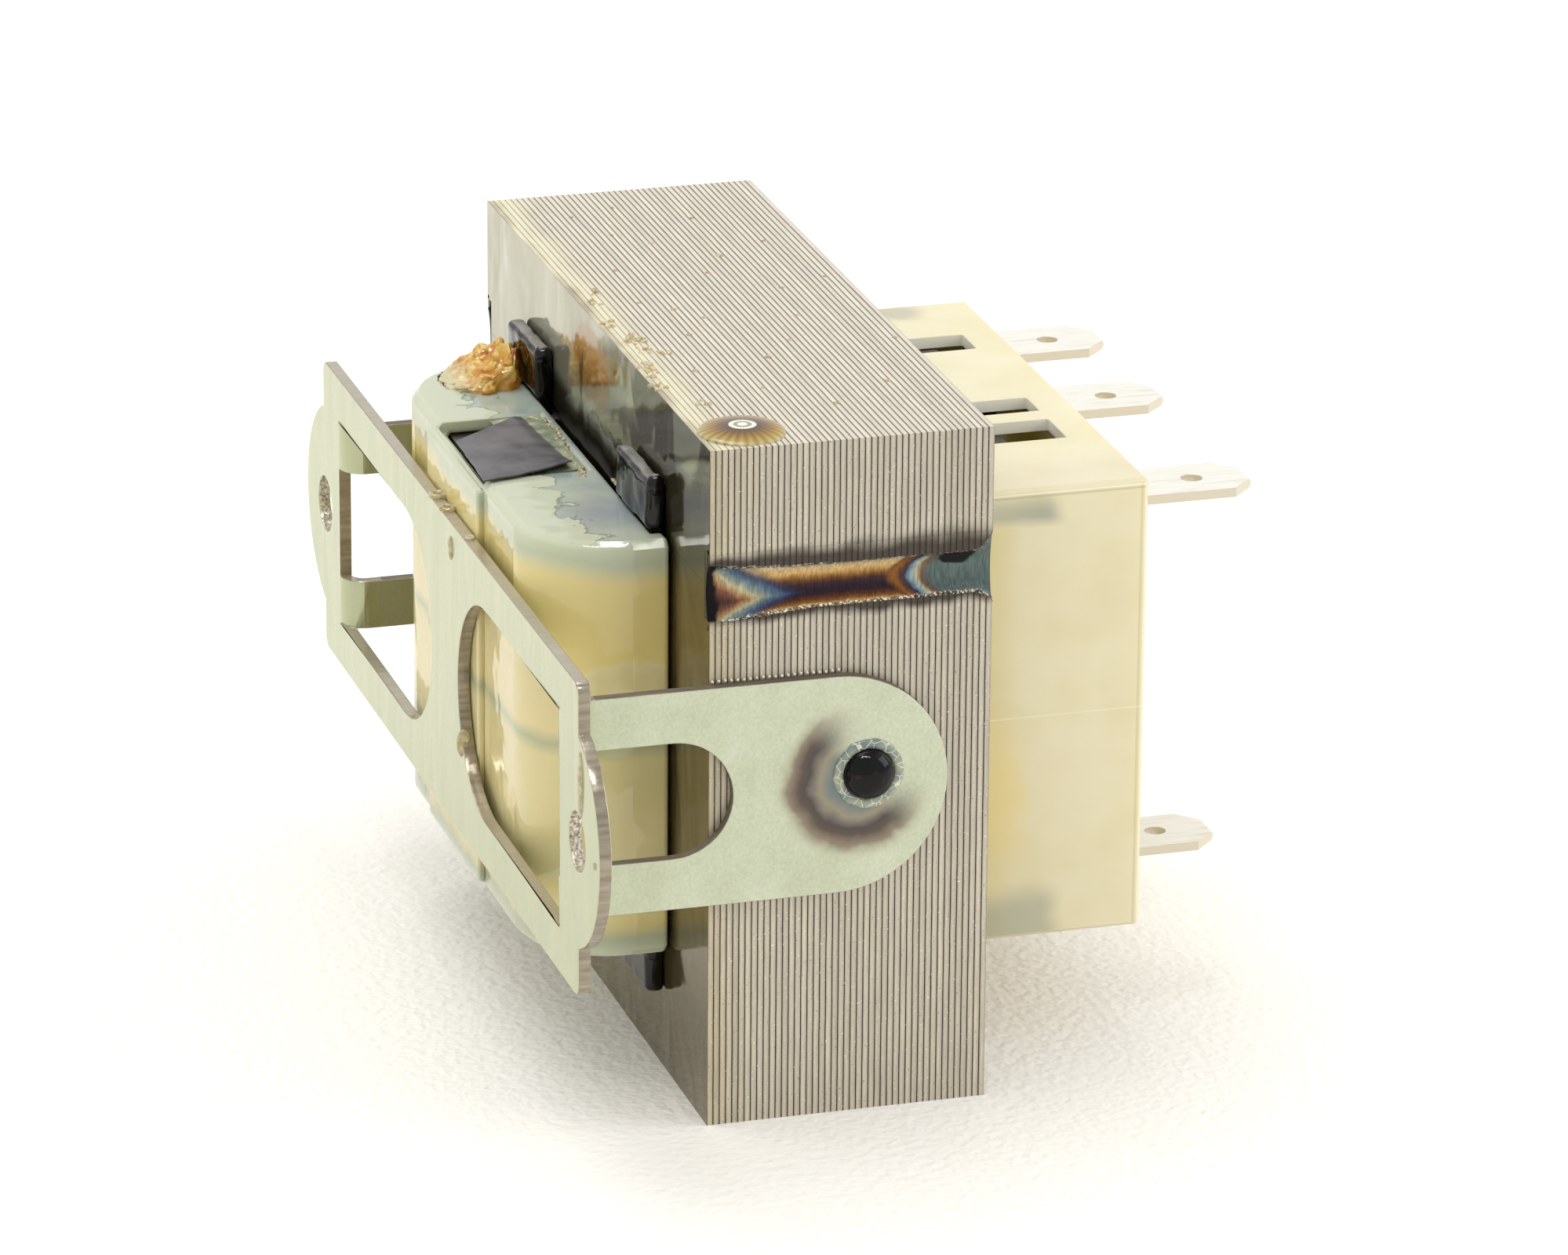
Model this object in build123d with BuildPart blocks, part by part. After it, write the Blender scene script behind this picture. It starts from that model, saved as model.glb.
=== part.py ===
from build123d import *
import os

# Small mains transformer: a stack of E and I plates welded along two seams, a two-chamber
# bobbin on the middle leg, a hood over each side of the coil, a U bracket and five blade tabs.
# Millimetres. The origin is the middle of the core's foot. +X runs through the stack from
# the bracket to the tabs, +Y along the plates, +Z up.

# Core plates
core_width = 66.0
core_height = 55.0
stack_depth = 22.5
outer_leg = 11.0
centre_leg = 22.0
yoke_height = 11.0
e_plate_count = 45
i_plate_count = 46
plate_gap = 0.04
seam_gap = 0.02

# Weld beads along the two E to I seams
bead_height = 5.4
bead_depth = 1.2
bead_dish = 0.6

# Bobbin
tube_wall = 1.0
leg_clearance = 0.2
flange_thickness = 1.0
flange_inset = 0.8
flange_side_clearance = 0.3
flange_end_clearance = 0.2
lug_width = 8.8
lug_edge_inset = 0.8
lug_height = 5.3
lug_thickness = 0.95
lug_edge_chamfer = 0.3
core_face_clearance = 0.1

# Coils
coil_below_flange = 2.15
coil_clearance = 0.15
coil_corner_ease = 0.35
wrap_clearance = 0.02
wrap_thickness = 0.3

# Hood on the bracket side
hood_wall = 1.1
hood_coil_gap = 0.68
hood_side_gap = 0.2
hood_roof_gap = 0.3
hood_side_flat = 2.9
hood_rim = 0.6
hood_core_gap = 0.25
hood_lug_gap = 0.05
pad_near = -6.3
pad_far = 9.8
pad_raise = 0.5
pad_rounding = 0.45
pocket_core_margin = 1.8
pocket_side_inset = 0.9
pocket_rim = 0.8

# Hood over the terminals
box_wall = 1.0
box_coil_gap = 5.98
box_side_gap = 0.6
box_roof_gap = 0.15
box_rim = 0.3
box_slot_inset = 3.1
box_slot_lengths = (9.0, 9.6, 8.6)
box_slot_widths = (3.8, 3.4, 4.7)

# Blade tabs and the pockets that hold them
tab_width = 6.35
tab_thickness = 0.8
tab_stand_out = 9.8
tab_root_gap = 1.75
tab_nose_length = 1.9
tab_nose_width = 2.6
tab_hole_diameter = 1.7
tab_hole_from_tip = 4.5
tab_lug_width = 2.4
tab_lug_length = 3.0
tab_lead_in = 0.2
tab_slot_clearance = 0.15
outer_tab_inset = 3.6
middle_tab_place = 3.05
lower_tab_place = 11.5
socket_clearance = 0.05
socket_wall = 0.6
socket_roof = 1.0
socket_end_gap = 4.1

# Coil leads
lead_diameter = 0.6
lead_hole_width = 1.2
lead_from_tab_root = 2.2
lead_tab_gap = 0.02
primary_lead_places = (12.9, -3.7, -9.9)
secondary_lead_places = (-5.2, 5.2)

# Bracket
sheet = 1.0
bracket_height = 25.2
bracket_gap = 0.1
bend_radius = 1.0
arm_height = 17.7
arm_reach = 18.8
arm_slot_height = 9.4
arm_slot_past_core_face = 1.7
web_width = 8.2
hole_from_bend = 5.0
hole_diameter = 4.7
plate_past_hole = 0.3
plate_corner = 1.0
ear_reach = 6.0
ear_chord = 17.2

# Plug welds that hold the bracket's arms to the core
plug_diameter = 4.0
plug_clearance = 0.02
plug_from_arm_tip = 6.35
plug_cap_diameter = 4.9
plug_cap_height = 1.3

# Tape with one edge along the hood's outer face and two corners set from its open side; resin
# outline from the far lug's outer end, out over the hood and inward; varnish drop from the
# core's near corner
tape_thickness = 0.15
tape_lift = 0.02
tape_edge_inset = 0.4
tape_edge_ends = (3.5, -6.0)
tape_core_corners = ((3.5, 9.3), (2.7, -5.9))
resin_foot = ((0, -0.9), (2.2, -1.3), (4.7, -0.5), (6.6, 1.2), (5.7, 3.4), (3.1, 6.1), (0, 5.2))
resin_foot_height = 1.7
resin_foot_taper = 40.0
resin_peak = ((0, -0.6), (1.9, -0.4), (2.6, 1.6), (1.2, 3.0), (0, 2.6))
resin_peak_height = 4.3
resin_peak_taper = 12.0
drop_from_faces = (3.65, 3.8)
drop_radius = 3.4
drop_top_radius = 2.3
drop_height = 0.5

# Levels and faces of the core and the bobbin
core_half_width = core_width / 2
stack_half = stack_depth / 2
e_pitch = stack_depth / e_plate_count
i_pitch = stack_depth / i_plate_count
seam_level = core_height - yoke_height
middle_level = (yoke_height + seam_level) / 2
bobbin_height = seam_level - yoke_height - 2 * flange_inset
bobbin_bottom = middle_level - bobbin_height / 2
bobbin_top = middle_level + bobbin_height / 2
flange_half_width = core_half_width - outer_leg - flange_side_clearance
tube_inner_x = stack_depth + 2 * leg_clearance
tube_inner_y = centre_leg + 2 * leg_clearance
tube_outer_x = tube_inner_x + 2 * tube_wall
tube_outer_y = tube_inner_y + 2 * tube_wall
lug_face_x = -stack_half - core_face_clearance - lug_thickness
lug_outer_y = flange_half_width - lug_edge_inset

# Coils, one in each chamber
chamber_height = bobbin_height / 2 - 1.5 * flange_thickness
upper_floor = middle_level + flange_thickness / 2
lower_floor = bobbin_bottom + flange_thickness
coil_build = flange_half_width - tube_outer_y / 2 - coil_clearance - coil_below_flange
winding_growth = coil_clearance + coil_build
coil_corner = winding_growth + coil_corner_ease
wrap_growth = winding_growth + wrap_clearance + wrap_thickness

# Faces of the two hoods
hood_inner_x = -(tube_outer_x / 2 + wrap_growth + hood_coil_gap)
hood_outer_x = hood_inner_x - hood_wall
hood_open_x = -stack_half - hood_core_gap
hood_corner = hood_open_x - hood_outer_x - hood_side_flat
hood_half_width = flange_half_width + hood_side_gap + hood_wall
hood_height = bobbin_height + 2 * (hood_roof_gap + hood_wall)
hood_bottom = middle_level - hood_height / 2
hood_top = middle_level + hood_height / 2
pad_face_x = hood_outer_x - pad_raise
socket_slot_height = tab_thickness + socket_clearance
socket_height = socket_slot_height + socket_roof
box_open_x = stack_half + hood_core_gap
box_outer_x = tube_outer_x / 2 + wrap_growth + box_coil_gap + box_wall
box_half_width = flange_half_width + box_side_gap + box_wall
box_height = bobbin_height + 2 * (socket_height + box_roof_gap + box_wall)
box_top = middle_level + box_height / 2

# Tabs, pockets and lead holes
tab_tip_x = box_outer_x + tab_stand_out
tab_root_x = stack_half + tab_root_gap
socket_start_x = tab_root_x + tab_lug_length
socket_end_x = box_outer_x - box_wall - socket_end_gap
outer_tab_place = flange_half_width - outer_tab_inset
primary_tab_places = (outer_tab_place, middle_tab_place, -outer_tab_place)
secondary_tab_places = (-lower_tab_place, lower_tab_place)
lead_hole_x = tab_root_x + lead_from_tab_root

# Bracket faces
plate_back_x = pad_face_x - bracket_gap
plate_front_x = plate_back_x - sheet
bend_line = core_half_width + sheet + bend_radius
hole_place = bend_line + hole_from_bend
bracket_half_length = hole_place + plate_past_hole
arm_bottom = middle_level - arm_height / 2
arm_tip_x = -stack_half + arm_reach
arm_outer_y = core_half_width + sheet
plug_x = arm_tip_x - plug_from_arm_tip

os.makedirs("parts", exist_ok=True)


def save(builder, name):
    """Label a finished piece with its name and write its STEP file."""
    builder.part.label = name
    export_step(builder.part, f"parts/{name}.step")


def planes_along_stack(count, pitch):
    """One sketch plane at the start of each plate in the stack."""
    return [Plane.YZ.offset(-stack_half + pitch * index) for index in range(count)]


# E plates: one punched outline, repeated through the stack, with a notch for each bead
with BuildPart() as e_laminations:
    with BuildSketch(*planes_along_stack(e_plate_count, e_pitch)):
        e_height = seam_level - seam_gap
        Rectangle(core_width, e_height, align=(Align.CENTER, Align.MIN))
        window_width = (core_width - centre_leg) / 2 - outer_leg
        window_middle = centre_leg / 2 + window_width / 2
        with Locations((-window_middle, yoke_height), (window_middle, yoke_height)):
            Rectangle(window_width, e_height, align=(Align.CENTER, Align.MIN), mode=Mode.SUBTRACT)
        with Locations((-core_half_width, seam_level), (core_half_width, seam_level)):
            Rectangle(2 * bead_depth, bead_height, mode=Mode.SUBTRACT)
    extrude(amount=e_pitch - plate_gap)
save(e_laminations, "e_laminations")

# I plates: straight bars that close the top of the magnetic path
with BuildPart() as i_laminations:
    with BuildSketch(*planes_along_stack(i_plate_count, i_pitch)):
        with Locations((0, seam_level)):
            Rectangle(core_width, yoke_height, align=(Align.CENTER, Align.MIN))
        with Locations((-core_half_width, seam_level), (core_half_width, seam_level)):
            Rectangle(2 * bead_depth, bead_height, mode=Mode.SUBTRACT)
    extrude(amount=i_pitch - plate_gap)
save(i_laminations, "i_laminations")


def weld_bead(side):
    """A bead with a dished face that fills the notch along one seam."""
    with BuildPart() as bead:
        with BuildSketch(Plane.YZ.offset(-stack_half)):
            root = side * (core_half_width - bead_depth)
            face = side * core_half_width
            dish = side * (core_half_width - bead_dish)
            low = seam_level - bead_height / 2
            high = seam_level + bead_height / 2
            with BuildLine():
                Polyline((face, low), (root, low), (root, high), (face, high))
                ThreePointArc((face, high), (dish, seam_level), (face, low))
            make_face()
        extrude(amount=stack_depth - plate_gap)
    return bead


# Weld beads: one on each narrow side of the core
weld_bead_front = weld_bead(-1)
save(weld_bead_front, "weld_bead_front")
weld_bead_back = weld_bead(1)
save(weld_bead_back, "weld_bead_back")


def tab_sockets(places, flange_level, direction):
    """Raised pockets on an end flange, one for each tab, open at both ends."""
    slot_width = tab_width + 2 * socket_clearance
    block_width = slot_width + 2 * socket_wall
    length = socket_end_x - socket_start_x
    stand = (Align.MIN, Align.CENTER, Align.MIN if direction > 0 else Align.MAX)
    for place in places:
        with Locations((socket_start_x, place, flange_level)):
            Box(length, block_width, socket_height, align=stand)
            Box(length, slot_width, socket_slot_height, align=stand, mode=Mode.SUBTRACT)


# Bobbin: tube on the middle leg, three flanges, four lugs beside the core and the tab pockets
with BuildPart() as bobbin:
    with BuildSketch(Plane.XY.offset(bobbin_bottom)):
        Rectangle(tube_outer_x, tube_outer_y)
    extrude(amount=bobbin_height)
    flange_start_x = hood_inner_x + flange_end_clearance
    flange_levels = (bobbin_bottom, middle_level - flange_thickness / 2, bobbin_top - flange_thickness)
    with BuildSketch(*[Plane.XY.offset(level) for level in flange_levels]):
        with Locations((flange_start_x, 0)):
            flange_length = socket_end_x - flange_start_x
            Rectangle(flange_length, 2 * flange_half_width, align=(Align.MIN, Align.CENTER))
    extrude(amount=flange_thickness)
    hooded_corners = bobbin.edges().filter_by(Axis.Z).group_by(Axis.X)[0]
    fillet(hooded_corners, hood_corner - hood_wall)
    lug_middle_y = lug_outer_y - lug_width / 2
    for level, direction in ((bobbin_top, 1), (bobbin_bottom, -1)):
        with BuildSketch(Plane.XY.offset(level)):
            lug_x = lug_face_x + lug_thickness / 2
            with Locations((lug_x, -lug_middle_y), (lug_x, lug_middle_y)):
                Rectangle(lug_thickness, lug_width)
        lug = extrude(amount=direction * lug_height)
        chamfer(lug.edges().filter_by(Axis.Z), lug_edge_chamfer)
    tab_sockets(primary_tab_places, bobbin_top, 1)
    tab_sockets(secondary_tab_places, bobbin_bottom, -1)
    with BuildSketch(Plane.XY.offset(bobbin_bottom)):
        Rectangle(tube_inner_x, tube_inner_y)
    extrude(amount=bobbin_height, mode=Mode.SUBTRACT)
    for level, places in ((bobbin_top, primary_lead_places), (lower_floor, secondary_lead_places)):
        with BuildSketch(Plane.XY.offset(level)):
            with Locations(*[(lead_hole_x, place) for place in places]):
                Rectangle(lead_hole_width, lead_hole_width)
        extrude(amount=-flange_thickness, mode=Mode.SUBTRACT)
save(bobbin, "bobbin")


def coil(name, floor_level):
    """A winding with square inside corners on the tube, and the wrap round its rounded outside."""
    height = chamber_height - 2 * coil_clearance
    with BuildPart() as winding:
        with BuildSketch(Plane.XY.offset(floor_level + coil_clearance)):
            across_x = tube_outer_x + 2 * winding_growth
            across_y = tube_outer_y + 2 * winding_growth
            RectangleRounded(across_x, across_y, coil_corner)
            inner_x = tube_outer_x + 2 * coil_clearance
            inner_y = tube_outer_y + 2 * coil_clearance
            Rectangle(inner_x, inner_y, mode=Mode.SUBTRACT)
        extrude(amount=height)
    save(winding, f"{name}_winding")
    with BuildPart() as wrap:
        with BuildSketch(Plane.XY.offset(floor_level + coil_clearance)):
            inner_x = across_x + 2 * wrap_clearance
            inner_y = across_y + 2 * wrap_clearance
            inner_corner = coil_corner + wrap_clearance
            outer_x = inner_x + 2 * wrap_thickness
            outer_y = inner_y + 2 * wrap_thickness
            RectangleRounded(outer_x, outer_y, inner_corner + wrap_thickness)
            RectangleRounded(inner_x, inner_y, inner_corner, mode=Mode.SUBTRACT)
        extrude(amount=height)
    save(wrap, f"{name}_wrap")


# Coils: the primary in the upper chamber and the secondary in the lower one, each under a wrap
coil("primary", upper_floor)
coil("secondary", lower_floor)


def blade_tab(place, under_level):
    """A flat blade with a chamfered nose, a locating hole and a narrow soldering end."""
    with BuildPart() as tab:
        with BuildSketch(Plane.XY.offset(under_level)):
            with Locations((socket_start_x, place)):
                blade_length = tab_tip_x - socket_start_x
                Rectangle(blade_length, tab_width, align=(Align.MIN, Align.CENTER))
                Rectangle(tab_lug_length, tab_lug_width, align=(Align.MAX, Align.CENTER))
            with Locations((tab_tip_x - tab_hole_from_tip, place)):
                Circle(tab_hole_diameter / 2, mode=Mode.SUBTRACT)
        extrude(amount=tab_thickness)
        nose_corners = tab.edges().filter_by(Axis.Z).group_by(Axis.X)[-1]
        nose_side = (tab_width - tab_nose_width) / 2
        tip_face = tab.faces().sort_by(Axis.X)[-1]
        chamfer(nose_corners, tab_nose_length, nose_side, reference=tip_face)
        nose_edges = tab.faces().sort_by(Axis.X)[-1].edges().filter_by(Axis.Y)
        chamfer(nose_edges, tab_lead_in)
    return tab


# Tabs: three for the primary on the top flange, two for the secondary under the bottom flange
for index, place in enumerate(primary_tab_places, start=1):
    save(blade_tab(place, bobbin_top), f"primary_tab_{index}")
for index, place in enumerate(secondary_tab_places, start=1):
    save(blade_tab(place, bobbin_bottom - tab_thickness), f"secondary_tab_{index}")


def winding_leads(tab_places, lead_places, start_level, flange_level, direction):
    """Wires that leave the coil, pass the flange and lie across the soldering ends of their tabs."""
    crossing_height = tab_thickness + lead_tab_gap + lead_diameter / 2
    crossing_level = flange_level + direction * crossing_height
    with BuildPart() as leads:
        for tab_place, lead_place in zip(tab_places, lead_places):
            toward_tab = 1 if tab_place > lead_place else -1
            with BuildLine() as route:
                Polyline(
                    (lead_hole_x, lead_place, start_level),
                    (lead_hole_x, lead_place, crossing_level),
                    (lead_hole_x, tab_place + toward_tab * tab_lug_width / 2, crossing_level),
                )
            with BuildSketch(Plane(origin=route.line @ 0, z_dir=route.line % 0)):
                RegularPolygon(lead_diameter / 2, side_count=8)
            sweep(path=route.line, transition=Transition.RIGHT)
    return leads


# Leads: the coil ends, brought through the end flanges to the tabs
upper_coil_top = upper_floor + chamber_height - coil_clearance
primary_leads = winding_leads(
    primary_tab_places, primary_lead_places, upper_coil_top, bobbin_top, 1
)
save(primary_leads, "primary_leads")
lower_coil_bottom = lower_floor + coil_clearance
secondary_leads = winding_leads(
    secondary_tab_places, secondary_lead_places, lower_coil_bottom, bobbin_bottom, -1
)
save(secondary_leads, "secondary_leads")

# Hood on the bracket side: a rounded cup, open to the core, with a raised pad and a pocket
with BuildPart() as bracket_side_hood:
    hood_length = hood_open_x - hood_outer_x
    with BuildSketch(Plane.XY.offset(hood_bottom)) as hood_plan:
        with Locations((hood_outer_x, 0)):
            Rectangle(hood_length, 2 * hood_half_width, align=(Align.MIN, Align.CENTER))
        fillet(hood_plan.vertices().group_by(Axis.X)[0], hood_corner)
    extrude(amount=hood_height)
    rims = bracket_side_hood.faces().filter_by(Axis.Z).edges()
    open_side = bracket_side_hood.faces().sort_by(Axis.X)[-1].edges()
    chamfer(rims - open_side, hood_rim)
    with BuildSketch(Plane.XY.offset(hood_bottom + hood_rim)) as pad_plan:
        with Locations((pad_face_x, (pad_near + pad_far) / 2)):
            Rectangle(pad_raise + hood_wall / 2, pad_far - pad_near, align=(Align.MIN, Align.CENTER))
        fillet(pad_plan.vertices().group_by(Axis.X)[0], pad_rounding)
    extrude(amount=hood_height - 2 * hood_rim)
    with BuildSketch(Plane.XY.offset(hood_bottom + hood_wall)) as hood_inside:
        with Locations((hood_inner_x, 0)):
            inside_width = 2 * (hood_half_width - hood_wall)
            Rectangle(hood_length, inside_width, align=(Align.MIN, Align.CENTER))
        fillet(hood_inside.vertices().group_by(Axis.X)[0], hood_corner - hood_wall)
    extrude(amount=hood_height - 2 * hood_wall, mode=Mode.SUBTRACT)
    with BuildSketch(Plane.XY.offset(hood_bottom)):
        with Locations((lug_face_x - hood_lug_gap, 0)):
            relief_width = 2 * (lug_outer_y + hood_lug_gap)
            Rectangle(hood_length, relief_width, align=(Align.MIN, Align.CENTER))
    extrude(amount=hood_height, mode=Mode.SUBTRACT)
    with BuildSketch(Plane.XY.offset(hood_top)):
        with Locations((pad_face_x + pocket_rim, (pad_near + pad_far) / 2)):
            pocket_length = hood_open_x - pocket_core_margin - (pad_face_x + pocket_rim)
            pocket_width = pad_far - pad_near - 2 * pocket_side_inset
            Rectangle(pocket_length, pocket_width, align=(Align.MIN, Align.CENTER))
    extrude(amount=-hood_wall, mode=Mode.SUBTRACT)
save(bracket_side_hood, "bracket_side_hood")

# Hood over the terminals: a square box, open to the core, with tab slots and three top slots
with BuildPart() as terminal_hood:
    box_length = box_outer_x - box_open_x
    with Locations((box_open_x, 0, middle_level)):
        from_open_side = (Align.MIN, Align.CENTER, Align.CENTER)
        Box(box_length, 2 * box_half_width, box_height, align=from_open_side)
        box_rims = terminal_hood.edges() - terminal_hood.faces().sort_by(Axis.X)[0].edges()
        chamfer(box_rims, box_rim)
        inside_width = 2 * (box_half_width - box_wall)
        inside_height = box_height - 2 * box_wall
        Box(box_length - box_wall, inside_width, inside_height, align=from_open_side, mode=Mode.SUBTRACT)
    with BuildSketch(Plane.XY.offset(box_top)):
        for place, length, width in zip(primary_lead_places, box_slot_lengths, box_slot_widths):
            with Locations((box_outer_x - box_slot_inset, place)):
                Rectangle(length, width, align=(Align.MAX, Align.CENTER))
    extrude(amount=-box_wall, mode=Mode.SUBTRACT)
    upper_tabs = [(place, bobbin_top + tab_thickness / 2) for place in primary_tab_places]
    lower_tabs = [(place, bobbin_bottom - tab_thickness / 2) for place in secondary_tab_places]
    with BuildSketch(Plane.YZ.offset(box_outer_x)):
        with Locations(*upper_tabs, *lower_tabs):
            Rectangle(tab_width + 2 * tab_slot_clearance, tab_thickness + 2 * tab_slot_clearance)
    extrude(amount=-box_wall, mode=Mode.SUBTRACT)
save(terminal_hood, "terminal_hood")

# Bracket: sheet steel, with the arms lanced out of the plate's two windows and bent back
with BuildPart() as bracket:
    with BuildSketch(Plane.YZ.offset(plate_front_x)) as plate_outline:
        with Locations((0, middle_level)):
            Rectangle(2 * bracket_half_length, bracket_height)
        fillet(plate_outline.vertices(), plate_corner)
        ear_radius = ((ear_chord / 2) ** 2 + ear_reach**2) / (2 * ear_reach)
        ear_middle = bracket_half_length + ear_reach - ear_radius
        with Locations((-ear_middle, middle_level), (ear_middle, middle_level)):
            Circle(ear_radius)
        window_arc = (web_width + arm_height) / 2
        with Locations((-window_arc, middle_level), (window_arc, middle_level)):
            Circle(arm_height / 2, mode=Mode.SUBTRACT)
        window_middle = (window_arc + bend_line) / 2
        with Locations((-window_middle, middle_level), (window_middle, middle_level)):
            Rectangle(bend_line - window_arc, arm_height, mode=Mode.SUBTRACT)
        with Locations((-hole_place, middle_level), (hole_place, middle_level)):
            Circle(hole_diameter / 2, mode=Mode.SUBTRACT)
    extrude(amount=sheet)
    bend_x = plate_back_x + bend_radius
    with BuildSketch(Plane.XY.offset(arm_bottom)):
        for side in (-1, 1):
            bend_y = side * bend_line
            with BuildLine():
                CenterArc((bend_x, bend_y), bend_radius + sheet, 180, side * 90)
                Polyline(
                    (bend_x, side * core_half_width),
                    (arm_tip_x, side * core_half_width),
                    (arm_tip_x, side * arm_outer_y),
                    (bend_x, side * arm_outer_y),
                )
                CenterArc((bend_x, bend_y), bend_radius, 180, side * 90)
                Line((plate_back_x, bend_y), (plate_front_x, bend_y))
            make_face()
    extrude(amount=arm_height)
    with BuildSketch(Plane.XZ):
        with Locations((arm_tip_x - arm_height / 2, middle_level)):
            Rectangle(arm_height, 2 * arm_height, align=(Align.MIN, Align.CENTER))
            Circle(arm_height / 2, mode=Mode.SUBTRACT)
        with Locations((plug_x, middle_level)):
            Circle(plug_diameter / 2)
    extrude(amount=arm_outer_y, both=True, mode=Mode.SUBTRACT)
    arm_slot_arc = -stack_half + arm_slot_past_core_face - arm_slot_height / 2
    for side in (-1, 1):
        with BuildSketch(Plane.XZ.offset(-side * bend_line)):
            with Locations((arm_slot_arc, middle_level)):
                Circle(arm_slot_height / 2)
                Rectangle(arm_slot_arc - plate_front_x, arm_slot_height, align=(Align.MAX, Align.CENTER))
        extrude(amount=side * (bend_line - core_half_width), mode=Mode.SUBTRACT)
save(bracket, "bracket")


def plug_weld(side):
    """A plug that fills the arm's hole down to the core, under a domed cap."""
    with BuildPart() as plug:
        cap_radius = plug_cap_diameter / 2
        ball_radius = (cap_radius**2 + plug_cap_height**2) / (2 * plug_cap_height)
        ball_middle = arm_outer_y + plug_cap_height - ball_radius
        with Locations((plug_x, side * ball_middle, middle_level)):
            Sphere(ball_radius)
        outward = Keep.TOP if side < 0 else Keep.BOTTOM
        split(bisect_by=Plane.XZ.offset(-side * arm_outer_y), keep=outward)
        with BuildSketch(Plane.XZ.offset(-side * core_half_width)):
            with Locations((plug_x, middle_level)):
                Circle(plug_diameter / 2 - plug_clearance)
        extrude(amount=-side * sheet)
    return plug


# Plug welds: one through each arm
bracket_weld_front = plug_weld(-1)
save(bracket_weld_front, "bracket_weld_front")
bracket_weld_back = plug_weld(1)
save(bracket_weld_back, "bracket_weld_back")

# Tape patch: a cut piece laid over the pocket in the hood
with BuildPart() as tape_patch:
    tape_edge_x = hood_outer_x + tape_edge_inset
    edge_points = [(tape_edge_x, place) for place in tape_edge_ends]
    core_points = [(hood_open_x - back, place) for back, place in tape_core_corners]
    with BuildSketch(Plane.XY.offset(hood_top + tape_lift)):
        with BuildLine():
            Polyline(edge_points[0], *core_points, edge_points[1], close=True)
        make_face()
    extrude(amount=tape_thickness)
save(tape_patch, "tape_patch")

# Resin lump: a craggy mound of set resin on the hood, highest against the far lug
with BuildPart() as resin_lump:
    for outline, height, taper in (
        (resin_foot, resin_foot_height, resin_foot_taper),
        (resin_peak, resin_peak_height, resin_peak_taper),
    ):
        with BuildSketch(Plane.XY.offset(hood_top)):
            with BuildLine():
                corners = [(lug_face_x - ahead, lug_outer_y - inward) for ahead, inward in outline]
                Polyline(*corners, close=True)
            make_face()
        extrude(amount=height, taper=taper)
save(resin_lump, "resin_lump")

# Varnish drop: a shallow lens set on the plate edges of the core's top
with BuildPart() as varnish_drop:
    drop_x = -stack_half + drop_from_faces[0]
    drop_y = -core_half_width + drop_from_faces[1]
    with Locations((drop_x, drop_y, core_height)):
        Cone(drop_radius, drop_top_radius, drop_height, align=(Align.CENTER, Align.CENTER, Align.MIN))
save(varnish_drop, "varnish_drop")
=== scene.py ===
import bpy
from functools import partial
from math import cos, pi, radians, sin
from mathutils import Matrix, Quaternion, Vector, noise


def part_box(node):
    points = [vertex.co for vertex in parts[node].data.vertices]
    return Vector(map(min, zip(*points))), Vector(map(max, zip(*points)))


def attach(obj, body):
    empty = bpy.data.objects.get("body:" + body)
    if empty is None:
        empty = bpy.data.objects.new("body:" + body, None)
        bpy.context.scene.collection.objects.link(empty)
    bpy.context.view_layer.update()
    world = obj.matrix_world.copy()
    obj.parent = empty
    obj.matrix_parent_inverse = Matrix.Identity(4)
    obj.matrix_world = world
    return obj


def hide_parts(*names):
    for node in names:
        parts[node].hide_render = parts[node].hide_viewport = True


# A small mains transformer on white card. Metres, in the CAD's frame: the origin is the middle
# of the core's foot, +X from the bracket to the blades, +Y along the plates, +Z up.
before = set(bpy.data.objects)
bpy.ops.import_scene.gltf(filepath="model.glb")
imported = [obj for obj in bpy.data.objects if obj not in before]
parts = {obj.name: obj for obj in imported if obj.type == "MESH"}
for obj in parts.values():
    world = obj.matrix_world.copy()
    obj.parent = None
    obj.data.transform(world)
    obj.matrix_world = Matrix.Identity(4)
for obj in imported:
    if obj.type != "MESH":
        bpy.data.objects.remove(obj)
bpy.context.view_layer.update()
bpy.ops.object.select_all(action="DESELECT")
mm = 0.001


# Camera: a long lens, a little above the transformer and to its bracket side, tilted by a hair.
camera_place = Vector((-177.910, -608.228, 259.316)) * mm
camera_azimuth = radians(16.70)
camera_drop = radians(20.03)
camera_tilt = radians(0.449)
camera_focal, camera_sensor = 193.65, 36.0
camera_nearest = 0.05

camera_data = bpy.data.cameras.new("camera")
camera_data.sensor_width = camera_sensor
camera_data.lens = camera_focal
camera_data.clip_start = camera_nearest
camera = bpy.data.objects.new("camera", camera_data)
bpy.context.scene.collection.objects.link(camera)
looking = Quaternion((0, 0, 1), -camera_azimuth) @ Quaternion((1, 0, 0), radians(90) - camera_drop)
camera.rotation_mode = "QUATERNION"
camera.rotation_quaternion = looking @ Quaternion((0, 0, 1), camera_tilt)
camera.location = camera_place
bpy.context.scene.camera = camera


# Floor: white card with a fine pebbled face. The card is matt, so it stays plain white and its
# pebbles show only in the shadow. Camera and glossy rays see the lift that a white room gives it.
floor_size = 4.0
pebble = 0.9 * mm
room_lift = 0.085


def linear(hex_colour):
    """An sRGB hex colour as the linear RGBA that shader sockets take."""
    channels = [int(hex_colour[i:i + 2], 16) / 255 for i in (1, 3, 5)]
    return [c / 12.92 if c <= 0.04045 else ((c + 0.055) / 1.055) ** 2.4 for c in channels] + [1.0]


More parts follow.
